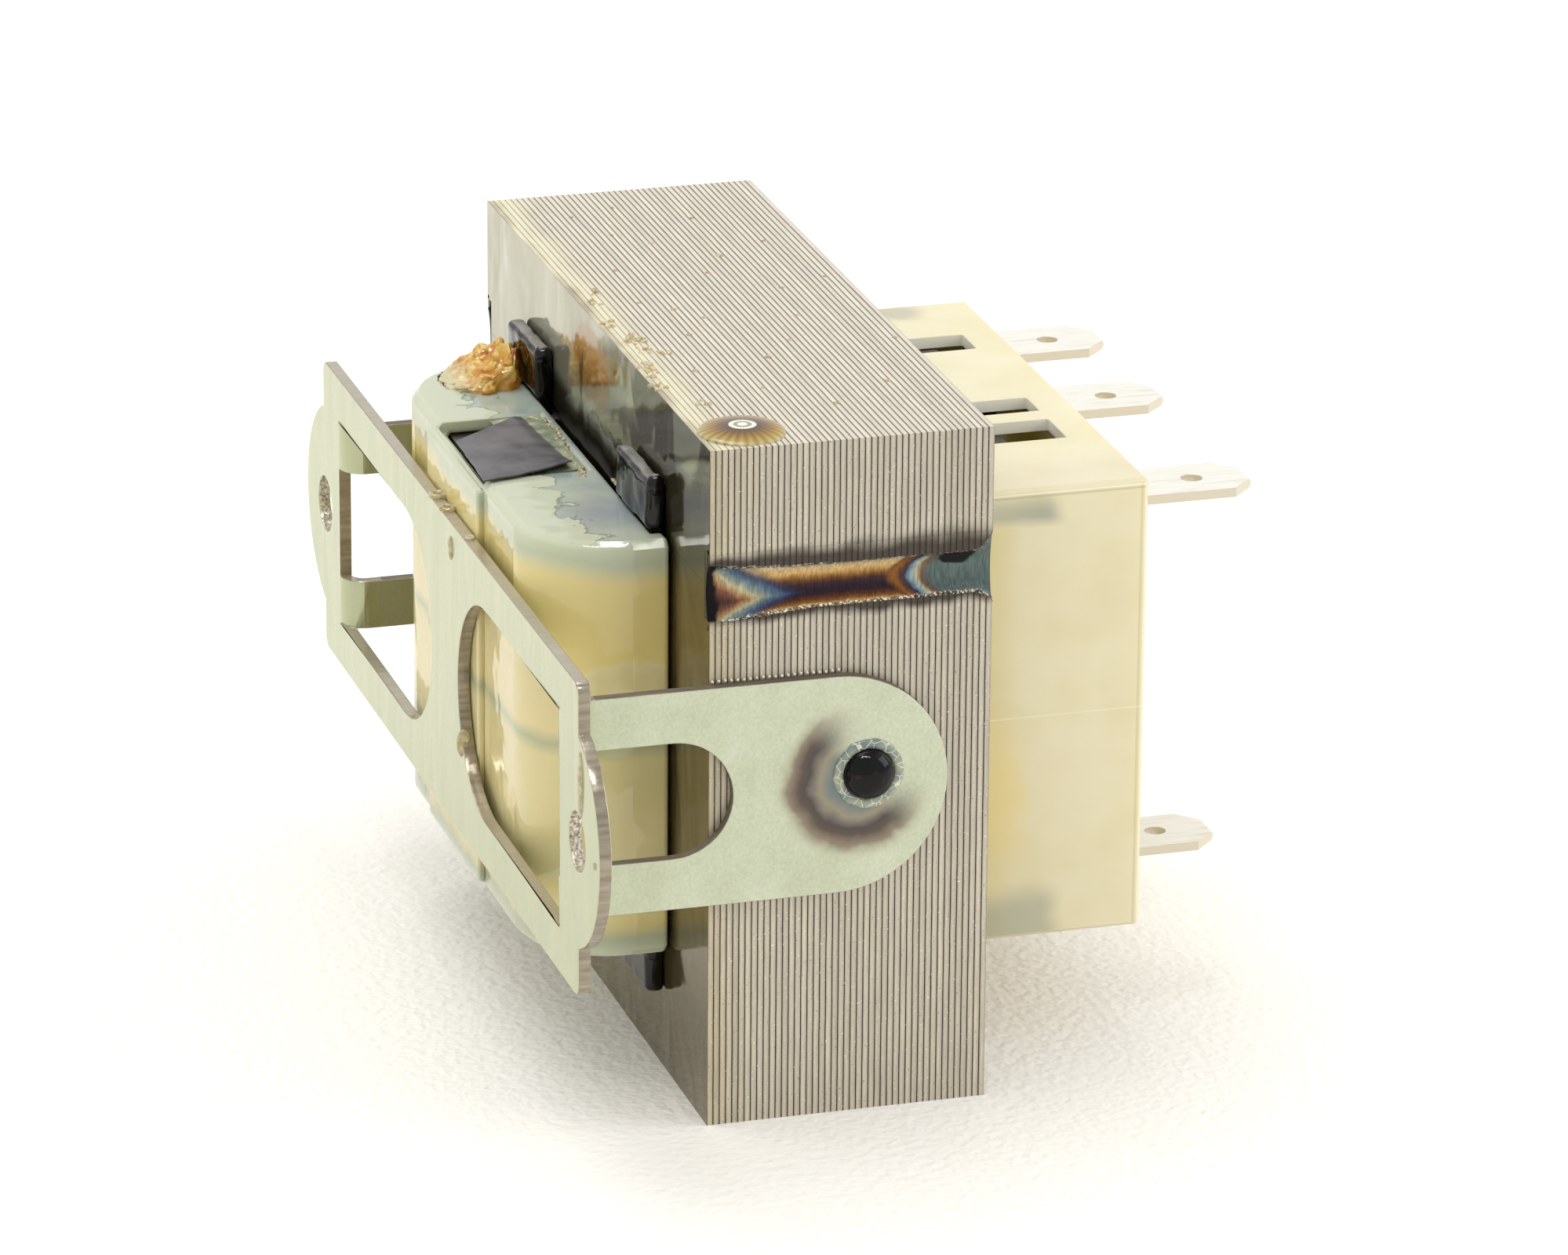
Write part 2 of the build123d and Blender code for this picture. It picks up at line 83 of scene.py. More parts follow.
def feed(node, inputs):
    """Gives sockets their values: a number, a hex colour, or the output of another node."""
    for socket, value in inputs.items():
        if isinstance(value, bpy.types.Node):
            value = value.outputs[0]
        if isinstance(value, bpy.types.NodeSocket):
            node.id_data.links.new(value, node.inputs[socket])
        elif isinstance(value, str):
            node.inputs[socket].default_value = linear(value)
        else:
            node.inputs[socket].default_value = value


def add_node(tree, kind, *values, stops=None, **settings):
    """Adds a shader node with its settings and its ramp's stops. Its values fill its sockets in
    order, as a MapRange's value, from min, from max, to min and to max, or come by name in a dict."""
    made = tree.nodes.new("ShaderNode" + kind)
    for name, value in settings.items():
        setattr(made, name, value)
    if stops:
        elements = made.color_ramp.elements
        while len(elements) < len(stops):
            elements.new(0.5)
        for element, (position, colour) in zip(elements, stops):
            element.position = position
        for element, (position, colour) in zip(elements, stops):
            element.color = linear(colour)
    by_name = values and isinstance(values[0], dict)
    feed(made, values[0] if by_name else dict(enumerate(values)))
    return made


def start_material(name, **sockets):
    """A new material; returns it, its Principled shader, a function that adds nodes to it, and
    the place of each point on the piece."""
    made = bpy.data.materials.new(name)
    made.use_nodes = True
    shader = made.node_tree.nodes["Principled BSDF"]
    feed(shader, {socket.replace("_", " "): value for socket, value in sockets.items()})
    add = partial(add_node, made.node_tree)
    return made, shader, add, add("TexCoord").outputs["Object"]


bpy.ops.mesh.primitive_plane_add(size=floor_size)
floor = bpy.context.object
floor.name = "floor"
card, shader, add, place = start_material("white_pebbled_card", Base_Color="#f8f5ee", Roughness=0.6)
pebbles = add("TexNoise", {"Vector": place, "Scale": 1 / pebble, "Detail": 1.0})
relief = add("Bump", {"Height": pebbles, "Distance": 0.3 * mm, "Strength": 0.8})
seen = add("LightPath")
shown = add("Math", seen.outputs["Is Camera Ray"], seen.outputs["Is Glossy Ray"], operation="MAXIMUM")
lift = add("Math", shown, room_lift, operation="MULTIPLY")
feed(shader, {"Normal": relief, "Emission Color": "#ffffff", "Emission Strength": lift})
floor.data.materials.append(card)


# Light: an even white room, a broad soft box overhead and one low on the blades' side. A bright
# panel in front of the overhead box lights no matt surface, and draws only the wet highlights.
# Each has its place, its size, its power, and whether matt surfaces see it.
room_light = 0.84
world = bpy.data.worlds.new("white_room")
bpy.context.scene.world = world
world.use_nodes = True
feed(world.node_tree.nodes["Background"], {"Color": "#ffffff", "Strength": room_light})
soft_boxes = (
    ((-0.20, 0.30, 0.95), (0.75, 0.60), 4.2, True),
    ((0.90, -0.35, 0.45), (0.60, 0.60), 3.0, True),
    ((-0.14, -0.36, 0.93), (0.60, 0.09), 5.0, False),
)
for box_place, box_size, power, lights_matt in soft_boxes:
    soft_box = bpy.data.lights.new("soft_box", "AREA")
    soft_box.shape = "RECTANGLE"
    soft_box.size, soft_box.size_y = box_size
    soft_box.energy = power
    stand = bpy.data.objects.new("soft_box", soft_box)
    stand.location = box_place
    stand.rotation_euler = (-Vector(box_place)).to_track_quat("-Z", "Y").to_euler()
    stand.visible_diffuse = lights_matt
    bpy.context.scene.collection.objects.link(stand)
bpy.context.scene.view_settings.view_transform = "Standard"


# Core: silicon steel plates, punched, stacked and welded, then dipped in clear varnish. Their
# edges show as pale warm lines with dark seams; the varnish lies thick and glossy on the face
# beside the bracket and has run a little way round its edges.
core_half_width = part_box("e_laminations")[1][1]
i_low, i_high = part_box("i_laminations")
seam_level, core_top = i_low[2], i_high[2]
e_count, i_count = 45, 46
stack_depth = 22.5 * mm
stack_half = stack_depth / 2
bead_top, bead_foot = 45.25 * mm, 41.8 * mm


def dress(node_name, material):
    """Gives a CAD node its finish."""
    for material_slot in parts[node_name].material_slots:
        material_slot.material = material


def band(add, value, level, outer, inner, weight):
    """A soft line where a value is near a level."""
    off = add("Math", value, level, operation="SUBTRACT")
    off = add("Math", off, operation="ABSOLUTE")
    return add("MapRange", off, outer, inner, 0.0, weight)


def patch(add, place, middle, squash, drift, drift_by, outer, inner, weight, fade="LINEAR"):
    """A patch round a middle, squashed along each axis, with an edge that drifts with a noise."""
    away = add("VectorMath", place, middle, operation="SUBTRACT")
    away = add("Mapping", {"Vector": away, "Scale": squash})
    far = add("VectorMath", away, operation="LENGTH").outputs["Value"]
    far = add("Math", drift, drift_by, far, operation="MULTIPLY_ADD")
    return add("MapRange", far, outer, inner, 0.0, weight, interpolation_type=fade)


def plate_steel(name, count):
    """The plates' cut edges, worked out from the pitch of the stack, and varnish on the near face."""
    # Punched silicon steel: each cut edge is a bright, half metallic line between dark seams. Its
    # grains are too fine to show, so they are drawn 0.16 mm wide, and its streaks 0.22 mm wide.
    pitch = stack_depth / count
    steel, shader, add, place = start_material(name)
    normal = add("TexCoord").outputs["Normal"]
    x, y, z = add("SeparateXYZ", place).outputs
    upward = add("SeparateXYZ", normal).outputs["Z"]
    upward = add("MapRange", upward, 0.5, 0.9)
    turn = add("Math", x, 1 / pitch, stack_half / pitch, operation="MULTIPLY_ADD")
    across = add("Math", turn, operation="FRACT")
    plate = add("Math", turn, operation="FLOOR")
    wander = add("TexNoise", {"Vector": place, "Scale": 1 / (2.5 * mm), "Detail": 2.0})
    wide = add("Math", wander, 0.12, -0.06, operation="MULTIPLY_ADD")
    across = add("Math", across, wide, operation="ADD")
    edge = add("ValToRGB", across, stops=(
        (0.04, "#4c4338"), (0.12, "#aca392"), (0.3, "#c5beae"),
        (0.6, "#bfb8a8"), (0.86, "#aea594"), (0.95, "#4c4338"),
    ))
    own = add("TexWhiteNoise", {"W": plate}, noise_dimensions="1D")
    shade = add("MapRange", own, 0.0, 1.0, 0.92, 1.06)
    # Painted light: the plates' upward faces are painted up to 1.4 times brighter, as light falls on them
    # from above.
    painted_top_light = add("MapRange", upward, 0.0, 1.0, 1.0, 1.4)
    shade = add("Math", shade, painted_top_light, operation="MULTIPLY")
    streaks_at = add("Mapping", {"Vector": place, "Scale": (1.0, 0.07, 0.07)})
    streaks = add("TexNoise", {"Vector": streaks_at, "Scale": 1 / (0.22 * mm), "Detail": 3.0})
    streak = add("MapRange", streaks, 0.3, 0.7, 0.9, 1.1)
    both = add("Math", shade, streak, operation="MULTIPLY")
    # Painted light: the plates are painted up to a tenth brighter towards the foot.
    painted_foot_light = add("MapRange", z, 0.0, 30 * mm, 1.1, 1.0)
    both = add("Math", both, painted_foot_light, operation="MULTIPLY")
    lined = add("MixRGB", 1.0, edge, both, blend_type="MULTIPLY")
    # Painted light: the upward faces are also painted a little paler, which softens their lines.
    painted_top_fill = add("Math", upward, 0.12, operation="MULTIPLY")
    lined = add("MixRGB", painted_top_fill, lined, "#d9d3c2")
    grains = add("TexNoise", {"Vector": place, "Scale": 1 / (0.16 * mm), "Detail": 1.0})
    # Painted highlights and specks: the brightest grains are painted near white, as glints on the steel and
    # as small specks on the varnished face.
    painted_glints_and_specks = add("MapRange", grains, 0.70, 0.78, 0.0, 0.8)
    glinted = add("MixRGB", painted_glints_and_specks, lined, "#fbf8ee")
    dips = add("MapRange", grains, 0.30, 0.25, 0.0, 0.6)
    worn = add("MixRGB", dips, glinted, "#4a4137")

    # Varnish that ran round the edges: a yellow tint, and a pale lip along the top.
    cloud = add("TexNoise", {"Vector": place, "Scale": 1 / (7 * mm), "Detail": 3.0})
    warped = add("Math", cloud, 3.5 * mm, x, operation="MULTIPLY_ADD")
    tint = add("MapRange", warped, -5.4 * mm, -9.4 * mm, 0.0, 0.32)
    tinted = add("MixRGB", tint, worn, "#e2d6a2", blend_type="MULTIPLY")
    lip = add("MapRange", warped, -6.4 * mm, -8.4 * mm, 0.0, 0.85)
    lip_there = add("Math", lip, upward, operation="MULTIPLY")
    pooled = add("MapRange", warped, -9.7 * mm, -8.3 * mm)
    pooled = add("ValToRGB", pooled, stops=((0.0, "#a3977c"), (0.35, "#d0c6a4"), (0.8, "#ebe3c4")))
    lipped = add("MixRGB", lip_there, tinted, pooled)

    # Soot beside the weld bead, which reaches further up towards the blades.
    reach = add("MapRange", x, -stack_half, 6 * mm, 1.0 * mm, 1.9 * mm)
    level = add("Math", wander, 1.4 * mm, z, operation="MULTIPLY_ADD")
    above = add("Math", level, bead_top + 1.25 * mm, operation="SUBTRACT")
    above = add("Math", above, reach, operation="DIVIDE")
    below = add("Math", bead_foot + 0.45 * mm, level, operation="SUBTRACT")
    below = add("Math", below, 0.9 * mm, operation="DIVIDE")
    away = add("Math", above, below, operation="MAXIMUM")
    soot = add("MapRange", away, 1.0, 0.0, 0.0, 0.92, interpolation_type="SMOOTHSTEP")
    side = add("Math", y, operation="ABSOLUTE")
    near_side = add("MapRange", side, core_half_width - 1.4 * mm, core_half_width - 0.3 * mm)
    soot = add("Math", soot, near_side, operation="MULTIPLY")
    burnt = add("MixRGB", soot, lipped, "#3a271d", blend_type="MULTIPLY")

    # The face beside the bracket, under its thick film of varnish, and the plain far face.
    film = add("Math", x, -stack_half + 0.03 * mm, operation="LESS_THAN")
    far_face = add("Math", x, stack_half - 0.06 * mm, operation="GREATER_THAN")
    runs_at = add("Mapping", {"Vector": place, "Scale": (1.0, 0.8, 0.5)})
    runs = add("TexNoise", {"Vector": runs_at, "Scale": 1 / (6.5 * mm), "Detail": 2.0, "Distortion": 0.5})
    along = add("Math", runs, 22 * mm, y, operation="MULTIPLY_ADD")
    # Partly the varnish's own tone and partly painted reflection: the face is painted dark olive at its near
    # end, which mirrors the dark hood and lugs, and pale at its far end, which mirrors the white card.
    varnish = add("MapRange", along, -6 * mm, 17 * mm)
    varnish = add("ValToRGB", varnish, stops=(
        (0.0, "#4a4531"), (0.3, "#56513a"), (0.5, "#6f6b53"), (0.75, "#918e75"), (1.0, "#a8a68e"),
    ))
    high = add("MapRange", z, 50.0 * mm, 51.5 * mm)
    # Painted reflection: the low part of the varnished face, beside the hood, is painted golden brown, as it
    # mirrors the cream hood.
    painted_hood_reflection = add("MapRange", z, 46.0 * mm, 40.0 * mm, 0.0, 0.4)
    drips = add("MapRange", runs, 0.53, 0.56, 0.0, 0.6)
    drips = add("Math", drips, high, operation="MULTIPLY")
    stain_middle = (-stack_half, 0.5 * mm, 51.0 * mm)
    stain = patch(add, place, stain_middle, (1.0, 0.6, 1.0), wander, 3 * mm, 5.0 * mm, 4.4 * mm, 0.7)
    # Painted reflection: a near-black band just over the hood, between the lugs, where the varnish mirrors
    # the black bobbin.
    painted_dark_reflection = add("Math", wander, 1.2 * mm, z, operation="MULTIPLY_ADD")
    painted_dark_reflection = add("MapRange", painted_dark_reflection, 48.4 * mm, 46.6 * mm, 0.0, 0.9, interpolation_type="SMOOTHSTEP")
    between = band(add, y, -4.0 * mm, 19.5 * mm, 16.0 * mm, 1.0)
    painted_dark_reflection = add("Math", painted_dark_reflection, between, operation="MULTIPLY")
    over_hood = add("Math", z, 40.0 * mm, operation="GREATER_THAN")
    painted_dark_reflection = add("Math", painted_dark_reflection, over_hood, operation="MULTIPLY")
    for share, colour in (
        (painted_glints_and_specks, "#d9d6bf"), (painted_hood_reflection, "#8a7647"), (drips, "#b3b49c"), (stain, "#8f6218"), (painted_dark_reflection, "#1d1913"),
    ):
        varnish = add("MixRGB", share, varnish, colour)
    faced = add("MixRGB", film, burnt, varnish)
    sheet = add("MixRGB", far_face, faced, "#9a958b")

    metal = add("MapRange", film, 0.0, 1.0, 0.42, 0.6)
    coarse = add("MapRange", film, 0.0, 1.0, 0.38, 0.09)
    slumps = add("Math", runs, film, operation="MULTIPLY")
    rounded = add("MapRange", across, 0.0, 0.2)
    relief = add("Bump", {"Height": slumps, "Distance": 1.0 * mm, "Strength": 0.3})
    relief = add("Bump", {"Height": rounded, "Distance": 0.02 * mm, "Strength": 0.4, "Normal": relief})
    feed(shader, {"Base Color": sheet, "Metallic": metal, "Roughness": coarse, "Normal": relief})
    return steel


e_steel = plate_steel("punched_silicon_steel_e", e_count)
i_steel = plate_steel("punched_silicon_steel_i", i_count)
dress("e_laminations", e_steel)
dress("i_laminations", i_steel)


# Weld beads: an arc run along each seam, which melted the plates into a dished ribbon of steel.
# Heat left films of oxide on it, straw at its edges, violet and blue along its middle, and a
# grey scale at the end where the arc was lifted.
bead_low, bead_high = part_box("weld_bead_front")
bead_dish = 0.62 * mm
bead_lip = 0.05 * mm
bead_reach = (40.6 * mm, 47.0 * mm)
bead_wall = 0.45 * mm
lip_start = 0.86


def finish_piece(piece, name, material, slot, *replaced):
    """Names a new piece, puts its place into its mesh, dresses it and seats it in the frame."""
    bpy.ops.object.select_all(action="DESELECT")
    piece.select_set(True)
    bpy.context.view_layer.objects.active = piece
    bpy.ops.object.transform_apply(location=True, rotation=True, scale=True)
    piece.name = name
    piece.data.name = name
    if not piece.data.materials:
        piece.data.materials.append(material)
    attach(piece, "root")
    if replaced:
        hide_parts(*replaced)
    piece.select_set(False)


def shape_by(piece, kind, **settings):
    """Shapes the active piece by a modifier, which is applied."""
    shaping = piece.modifiers.new("shaping", kind)
    for name, value in settings.items():
        setattr(shaping, name, value)
    bpy.ops.object.modifier_apply(modifier=shaping.name)


def bead_edges(x):
    """The bead's foot and top at a place along the seam: it widens towards both ends."""
    left = max(0.0, -x / stack_half)
    right = max(0.0, (x - 9.6 * mm) / (1.65 * mm))
    foot = bead_foot - 0.9 * mm * left ** 2 - 1.0 * mm * right ** 2
    top = bead_top + 0.6 * mm * left ** 2 + 1.5 * mm * right ** 2.4
    return foot, top


# Heat-tinted weld steel: films of oxide colour it like oil on water, over the shine of brushed
# metal. Its scratches are too fine to show, so they are drawn 0.14 mm wide.
bead_steel, shader, add, place = start_material("heat_tinted_weld_steel")
along, across = add("SeparateXYZ", add("TexCoord").outputs["UV"]).outputs[:2]
stir = add("TexNoise", {"Vector": place, "Scale": 1 / (1.3 * mm), "Detail": 3.0})
stirred = add("Math", stir, 0.10, across, operation="MULTIPLY_ADD")
ribbon = add("ValToRGB", stirred, stops=(
    (0.07, "#b39a6a"), (0.15, "#7d5024"), (0.22, "#54301a"), (0.30, "#2e1d22"), (0.42, "#241a26"),
    (0.54, "#3a2228"), (0.62, "#5f3c22"), (0.70, "#8a6434"), (0.80, "#b8965f"), (0.94, "#c9ae80"),
    (1.0, "#ddd3bb"),
))
s = add("Math", along, 22.5, operation="MULTIPLY")
t = add("MapRange", across, 0.0, 1.0, -1.0, 1.0)
t_low = add("Math", t, 0.35, operation="ADD")
arm_up = add("Math", t_low, 3.5, operation="MULTIPLY")
arm_down = add("Math", t_low, -5.8, operation="MULTIPLY")
arms = add("Math", arm_up, arm_down, operation="MAXIMUM")
wedge = add("Math", s, arms, operation="ADD")
wedge = add("Math", stir, 1.2, wedge, operation="MULTIPLY_ADD")
wedge = add("Math", wedge, 0.1, -0.06, operation="MULTIPLY_ADD")
chevron = add("ValToRGB", wedge, stops=(
    (0.0, "#1d1714"), (0.16, "#4a2f2a"), (0.26, "#6f4a38"), (0.34, "#a07c56"), (0.41, "#aaa384"),
    (0.48, "#77847f"), (0.56, "#506475"), (0.68, "#2f3a5a"), (0.82, "#241c2c"),
))
past_wedge = add("MapRange", wedge, 0.62, 0.86, interpolation_type="SMOOTHSTEP")
tinted = add("MixRGB", past_wedge, chevron, ribbon)
curved = add("Math", t, t, operation="MULTIPLY")
end = add("Math", curved, -1.5, s, operation="MULTIPLY_ADD")
end = add("Math", stir, 0.8, end, operation="MULTIPLY_ADD")
end = add("Math", end, 0.25, -3.6, operation="MULTIPLY_ADD")
arcs = add("ValToRGB", end, stops=(
    (0.04, "#4c2d18"), (0.22, "#7e5226"), (0.34, "#5b3720"), (0.42, "#2a2c44"), (0.54, "#7d929a"),
    (0.62, "#a9a68c"), (0.70, "#735539"), (0.78, "#565250"), (0.94, "#53615e"),
))
at_end = add("MapRange", end, 0.0, 0.16, interpolation_type="SMOOTHSTEP")
tinted = add("MixRGB", at_end, tinted, arcs)
scratch_at = add("Mapping", {"Vector": place, "Rotation": (0.0, radians(38), 0.0), "Scale": (1.0, 1.0, 0.12)})
scratch = add("TexNoise", {"Vector": scratch_at, "Scale": 1 / (0.14 * mm), "Detail": 2.0})
brush = add("MapRange", scratch, 0.3, 0.7, 0.72, 1.3)
tinted = add("MixRGB", 1.0, tinted, brush, blend_type="MULTIPLY")
blob_middle = (8.5 * mm, -core_half_width, 44.75 * mm)
blob = patch(add, place, blob_middle, (0.55, 0.3, 1.1), stir, 0.9 * mm, 1.3 * mm, 1.12 * mm, 1.0)
lip_there = add("Math", t, operation="ABSOLUTE")
lip_there = add("MapRange", lip_there, 0.84, 0.93, 0.0, 0.85)
specks = add("TexNoise", {"Vector": place, "Scale": 1 / (0.2 * mm), "Detail": 2.0})
speckled = add("ValToRGB", specks, stops=((0.42, "#231c17"), (0.52, "#6f6552"), (0.64, "#d9d1bd")))
# Painted shade: the pit sunk at the bead's start is painted near black.
painted_pit_shade = add("Math", stir, -0.07, along, operation="MULTIPLY_ADD")
painted_pit_shade = add("MapRange", painted_pit_shade, 0.004, -0.012)
for share, colour in ((blob, "#0d0f0f"), (lip_there, speckled), (painted_pit_shade, "#0b0908")):
    tinted = add("MixRGB", share, tinted, colour)
ripple = add("Math", end, 90.0, operation="MULTIPLY")
ripple = add("Math", ripple, operation="SINE")
relief = add("Bump", {"Height": ripple, "Distance": 0.01 * mm, "Strength": 0.4})
relief = add("Bump", {"Height": scratch, "Distance": 0.02 * mm, "Strength": 0.6, "Normal": relief})
crusty = add("MapRange", lip_there, 0.0, 1.0, 0.33, 0.62)
feed(shader, {"Base Color": tinted, "Metallic": 0.75, "Roughness": crusty, "Normal": relief})


def weld_bead(side, name):
    """A bead that fills the notch in one narrow side, dished, with ragged lips along its edges."""
    columns, rows = 150, 54
    raggedness, ragged_over = 0.10 * mm, 0.35 * mm
    end_pit, end_reach = 0.25 * mm, 0.7 * mm
    length = bead_high[0] - bead_low[0]
    height = bead_reach[1] - bead_reach[0]
    bpy.ops.mesh.primitive_grid_add(x_subdivisions=columns, y_subdivisions=rows, size=1.0)
    bead = bpy.context.object
    mesh = bead.data
    uv = mesh.uv_layers[0].data
    flow = {}
    for vertex in mesh.vertices:
        x = bead_low[0] + (vertex.co.x + 0.5) * length
        z = bead_reach[0] + (vertex.co.y + 0.5) * height
        foot, top = bead_edges(x)
        ragged = raggedness * noise.noise(Vector((x, 7 * mm, z)) / ragged_over)
        t = (2 * z - foot - top + ragged) / (top - foot)
        beyond = z < bead_low[2] or z > bead_high[2]
        if abs(t) < 1:
            lips = max(0.0, abs(t) - lip_start) / (1 - lip_start)
            rough = noise.noise(Vector((x, 0, z)) / (0.3 * mm))
            sink = bead_dish * (1 - t * t) ** 0.7 - bead_lip * lips * (1 + 1.4 * rough)
            sink += end_pit * max(0.0, 1 - (x - bead_low[0]) / end_reach) * (1 - t * t)
        else:
            sink = 0.1 * mm if beyond else 0.0
        vertex.co = (x, side * (core_half_width - sink), z)
        flow[vertex.index] = ((x - bead_low[0]) / length, min(1.0, max(0.0, (t + 1) / 2)), abs(t))
    for loop in mesh.loops:
        uv[loop.index].uv = flow[loop.vertex_index][:2]
    for material in (bead_steel, e_steel, i_steel):
        mesh.materials.append(material)
    for polygon in mesh.polygons:
        inside = sum(flow[index][2] for index in polygon.vertices) / len(polygon.vertices) < 1
        upper = polygon.center.z > seam_level
        polygon.material_index = 0 if inside else 2 if upper else 1
        polygon.use_smooth = True
    if side > 0:
        mesh.flip_normals()
    shape_by(bead, "SOLIDIFY", thickness=bead_wall, offset=-1.0)
    finish_piece(bead, name, bead_steel, "weld_steel", name.replace("_ribbon", ""))


weld_bead(-1, "weld_bead_front_ribbon")
weld_bead(1, "weld_bead_back_ribbon")


# Bobbin: moulded in black nylon with two chambers. The flat tops of its lugs have a satin face,
# painted grey as a painted sheen, and their eased edges shine.
bobbin_ease = 0.24 * mm


def ease_edges(node_name, width):
    """Rounds a CAD node's sharp edges by a live bevel, after its loose triangles are joined."""
    join_within = 0.002 * mm
    weld = parts[node_name].modifiers.new("joined", "WELD")
    weld.merge_threshold = join_within
    bevel = parts[node_name].modifiers.new("eased", "BEVEL")
    bevel.width = width
    bevel.segments = 3
    bevel.limit_method = "ANGLE"
    bevel.angle_limit = radians(50)
    bevel.use_clamp_overlap = False


def mottle(add, place, size, detail, stops, depth, strength):
    """An uneven face: a noise of a real size, its tones and its relief."""
    spots = add("TexNoise", {"Vector": place, "Scale": 1 / size, "Detail": detail})
    tone = add("ValToRGB", spots, stops=stops)
    return spots, tone, add("Bump", {"Height": spots, "Distance": depth, "Strength": strength})


# Moulded black nylon: it has hardly any colour. Its flat tops are painted grey as a painted sheen,
# and its shine tells the other faces apart.
nylon, shader, add, place = start_material("black_moulded_nylon", Specular_IOR_Level=0.24)
stops = ((0.3, "#070606"), (0.7, "#121111"))
tone, relief = mottle(add, place, 0.8 * mm, 3.0, stops, 0.05 * mm, 0.4)[1:]
upward = add("SeparateXYZ", add("TexCoord").outputs["Normal"]).outputs["Z"]
flat_top = add("MapRange", upward, 0.7, 0.95)
# Painted sheen: the upward faces are painted grey.
tone = add("MixRGB", flat_top, tone, "#75716c")
gloss = add("MapRange", flat_top, 0.0, 1.0, 0.09, 0.36)
feed(shader, {"Base Color": tone, "Roughness": gloss, "Normal": relief})
dress("bobbin", nylon)
ease_edges("bobbin", bobbin_ease)


# Varnish skins on the lugs: the dip hangs round each lug in a thick wet skin, so the black lug
# looks deeper and rounder than moulded. Its satin top has a painted grey sheen; its corners shine.
skin_thick, skin_long = 1.5, 9.3
skin_ease, skin_grain = 0.55, 0.13
corner_radius = 0.75
corner_shift = Vector((-0.02, -4.3, -0.45))
skin_x = -12.05
sag_depth, sag_outward, sag_over = 0.14 * mm, 0.1 * mm, 1.8 * mm

# Each skin's middle in y and z and its height. These sizes are in millimetres.
lug_skins = ((-16.5, 46.75, 4.15), (16.5, 46.75, 4.15), (-16.5, 8.35, 3.95), (16.5, 8.35, 3.95))

# Varnished black nylon: a wet black with small sharp highlights, and a satin top painted grey as a
# painted sheen.
wet_nylon, shader, add, place = start_material("varnished_black_nylon", Specular_IOR_Level=0.36)
normal = add("TexCoord").outputs["Normal"]
sag = add("TexNoise", {"Vector": place, "Scale": 1 / (1.6 * mm), "Detail": 2.0})
upward = add("SeparateXYZ", normal).outputs["Z"]
flat_top = add("MapRange", upward, 0.8, 0.97)
tone = add("ValToRGB", sag, stops=((0.35, "#73706a"), (0.65, "#95918b")))
# Painted sheen: the upward faces are painted satin grey, the rest near black.
tone = add("MixRGB", flat_top, "#080707", tone)
gloss = add("MapRange", flat_top, 0.0, 1.0, 0.06, 0.35)
relief = add("Bump", {"Height": sag, "Distance": 0.2 * mm, "Strength": 0.35})
feed(shader, {"Base Color": tone, "Roughness": gloss, "Normal": relief})

# The skins sag by a noise, whose seed is fixed so that each run gives the same skins.
noise.seed_set(7)
for index, (y, z, tall) in enumerate(lug_skins, start=1):
    middle = Vector((skin_x, y, z))
    bpy.ops.mesh.primitive_cube_add(size=1.0, location=middle * mm)
    skin = bpy.context.object
    skin.scale = (skin_thick * mm, skin_long * mm, tall * mm)
    bpy.ops.object.transform_apply(location=True, rotation=True, scale=True)
    shape_by(skin, "BEVEL", width=skin_ease * mm, segments=4)
    shape_by(skin, "REMESH", mode="VOXEL", voxel_size=skin_grain * mm)
    corner_place = middle + corner_shift + Vector((0, 0, tall / 2))
    bpy.ops.mesh.primitive_uv_sphere_add(
        segments=32, ring_count=16, radius=corner_radius * mm, location=corner_place * mm,
    )
    corner = bpy.context.object
    corner.scale = (1.0, 0.9, 1.1)
    skin.select_set(True)
    bpy.context.view_layer.objects.active = skin
    bpy.ops.object.join()
    skin = bpy.context.object
    for vertex in skin.data.vertices:
        sagging = noise.noise_vector(vertex.co / sag_over) * sag_depth
        vertex.co += Vector((min(sagging.x, sag_outward), sagging.y, sagging.z))
    bpy.ops.object.shade_smooth()
    finish_piece(skin, f"lug_skin_{index}", wet_nylon, "bobbin_plastic")


# Coils: enamelled wire wound in layers in the two chambers, under a wrap of clear yellow film.
# The turns show as fine ridges, and the ends run through the flanges to the blades.
wire = 0.35 * mm

# Enamelled copper: red-brown and glossy, with a ridge for each turn.
copper, shader, add, place = start_material("enamelled_copper_wire", Metallic=0.7, Roughness=0.3)
z = add("SeparateXYZ", place).outputs["Z"]
turns = add("Math", z, 2 * pi / wire, operation="MULTIPLY")
turns = add("Math", turns, operation="SINE")
tone = add("TexNoise", {"Vector": place, "Scale": 1 / (3 * mm)})
hue = add("ValToRGB", tone, stops=((0.3, "#7c3d1c"), (0.7, "#b06a34")))
relief = add("Bump", {"Height": turns, "Distance": 0.1 * mm, "Strength": 0.7})
feed(shader, {"Base Color": hue, "Normal": relief})
for name in ("primary_winding", "secondary_winding", "primary_leads", "secondary_leads"):
    dress(name, copper)

# Polyester film: a creased yellow skin with a soft shine.
wrap, shader, add, place = start_material("yellow_polyester_film", Roughness=0.25)
stops = ((0.3, "#b8993f"), (0.7, "#dcc474"))
hue, relief = mottle(add, place, 2 * mm, 4.0, stops, 0.2 * mm, 0.5)[1:]
feed(shader, {"Base Color": hue, "Normal": relief})
dress("primary_wrap", wrap)
dress("secondary_wrap", wrap)


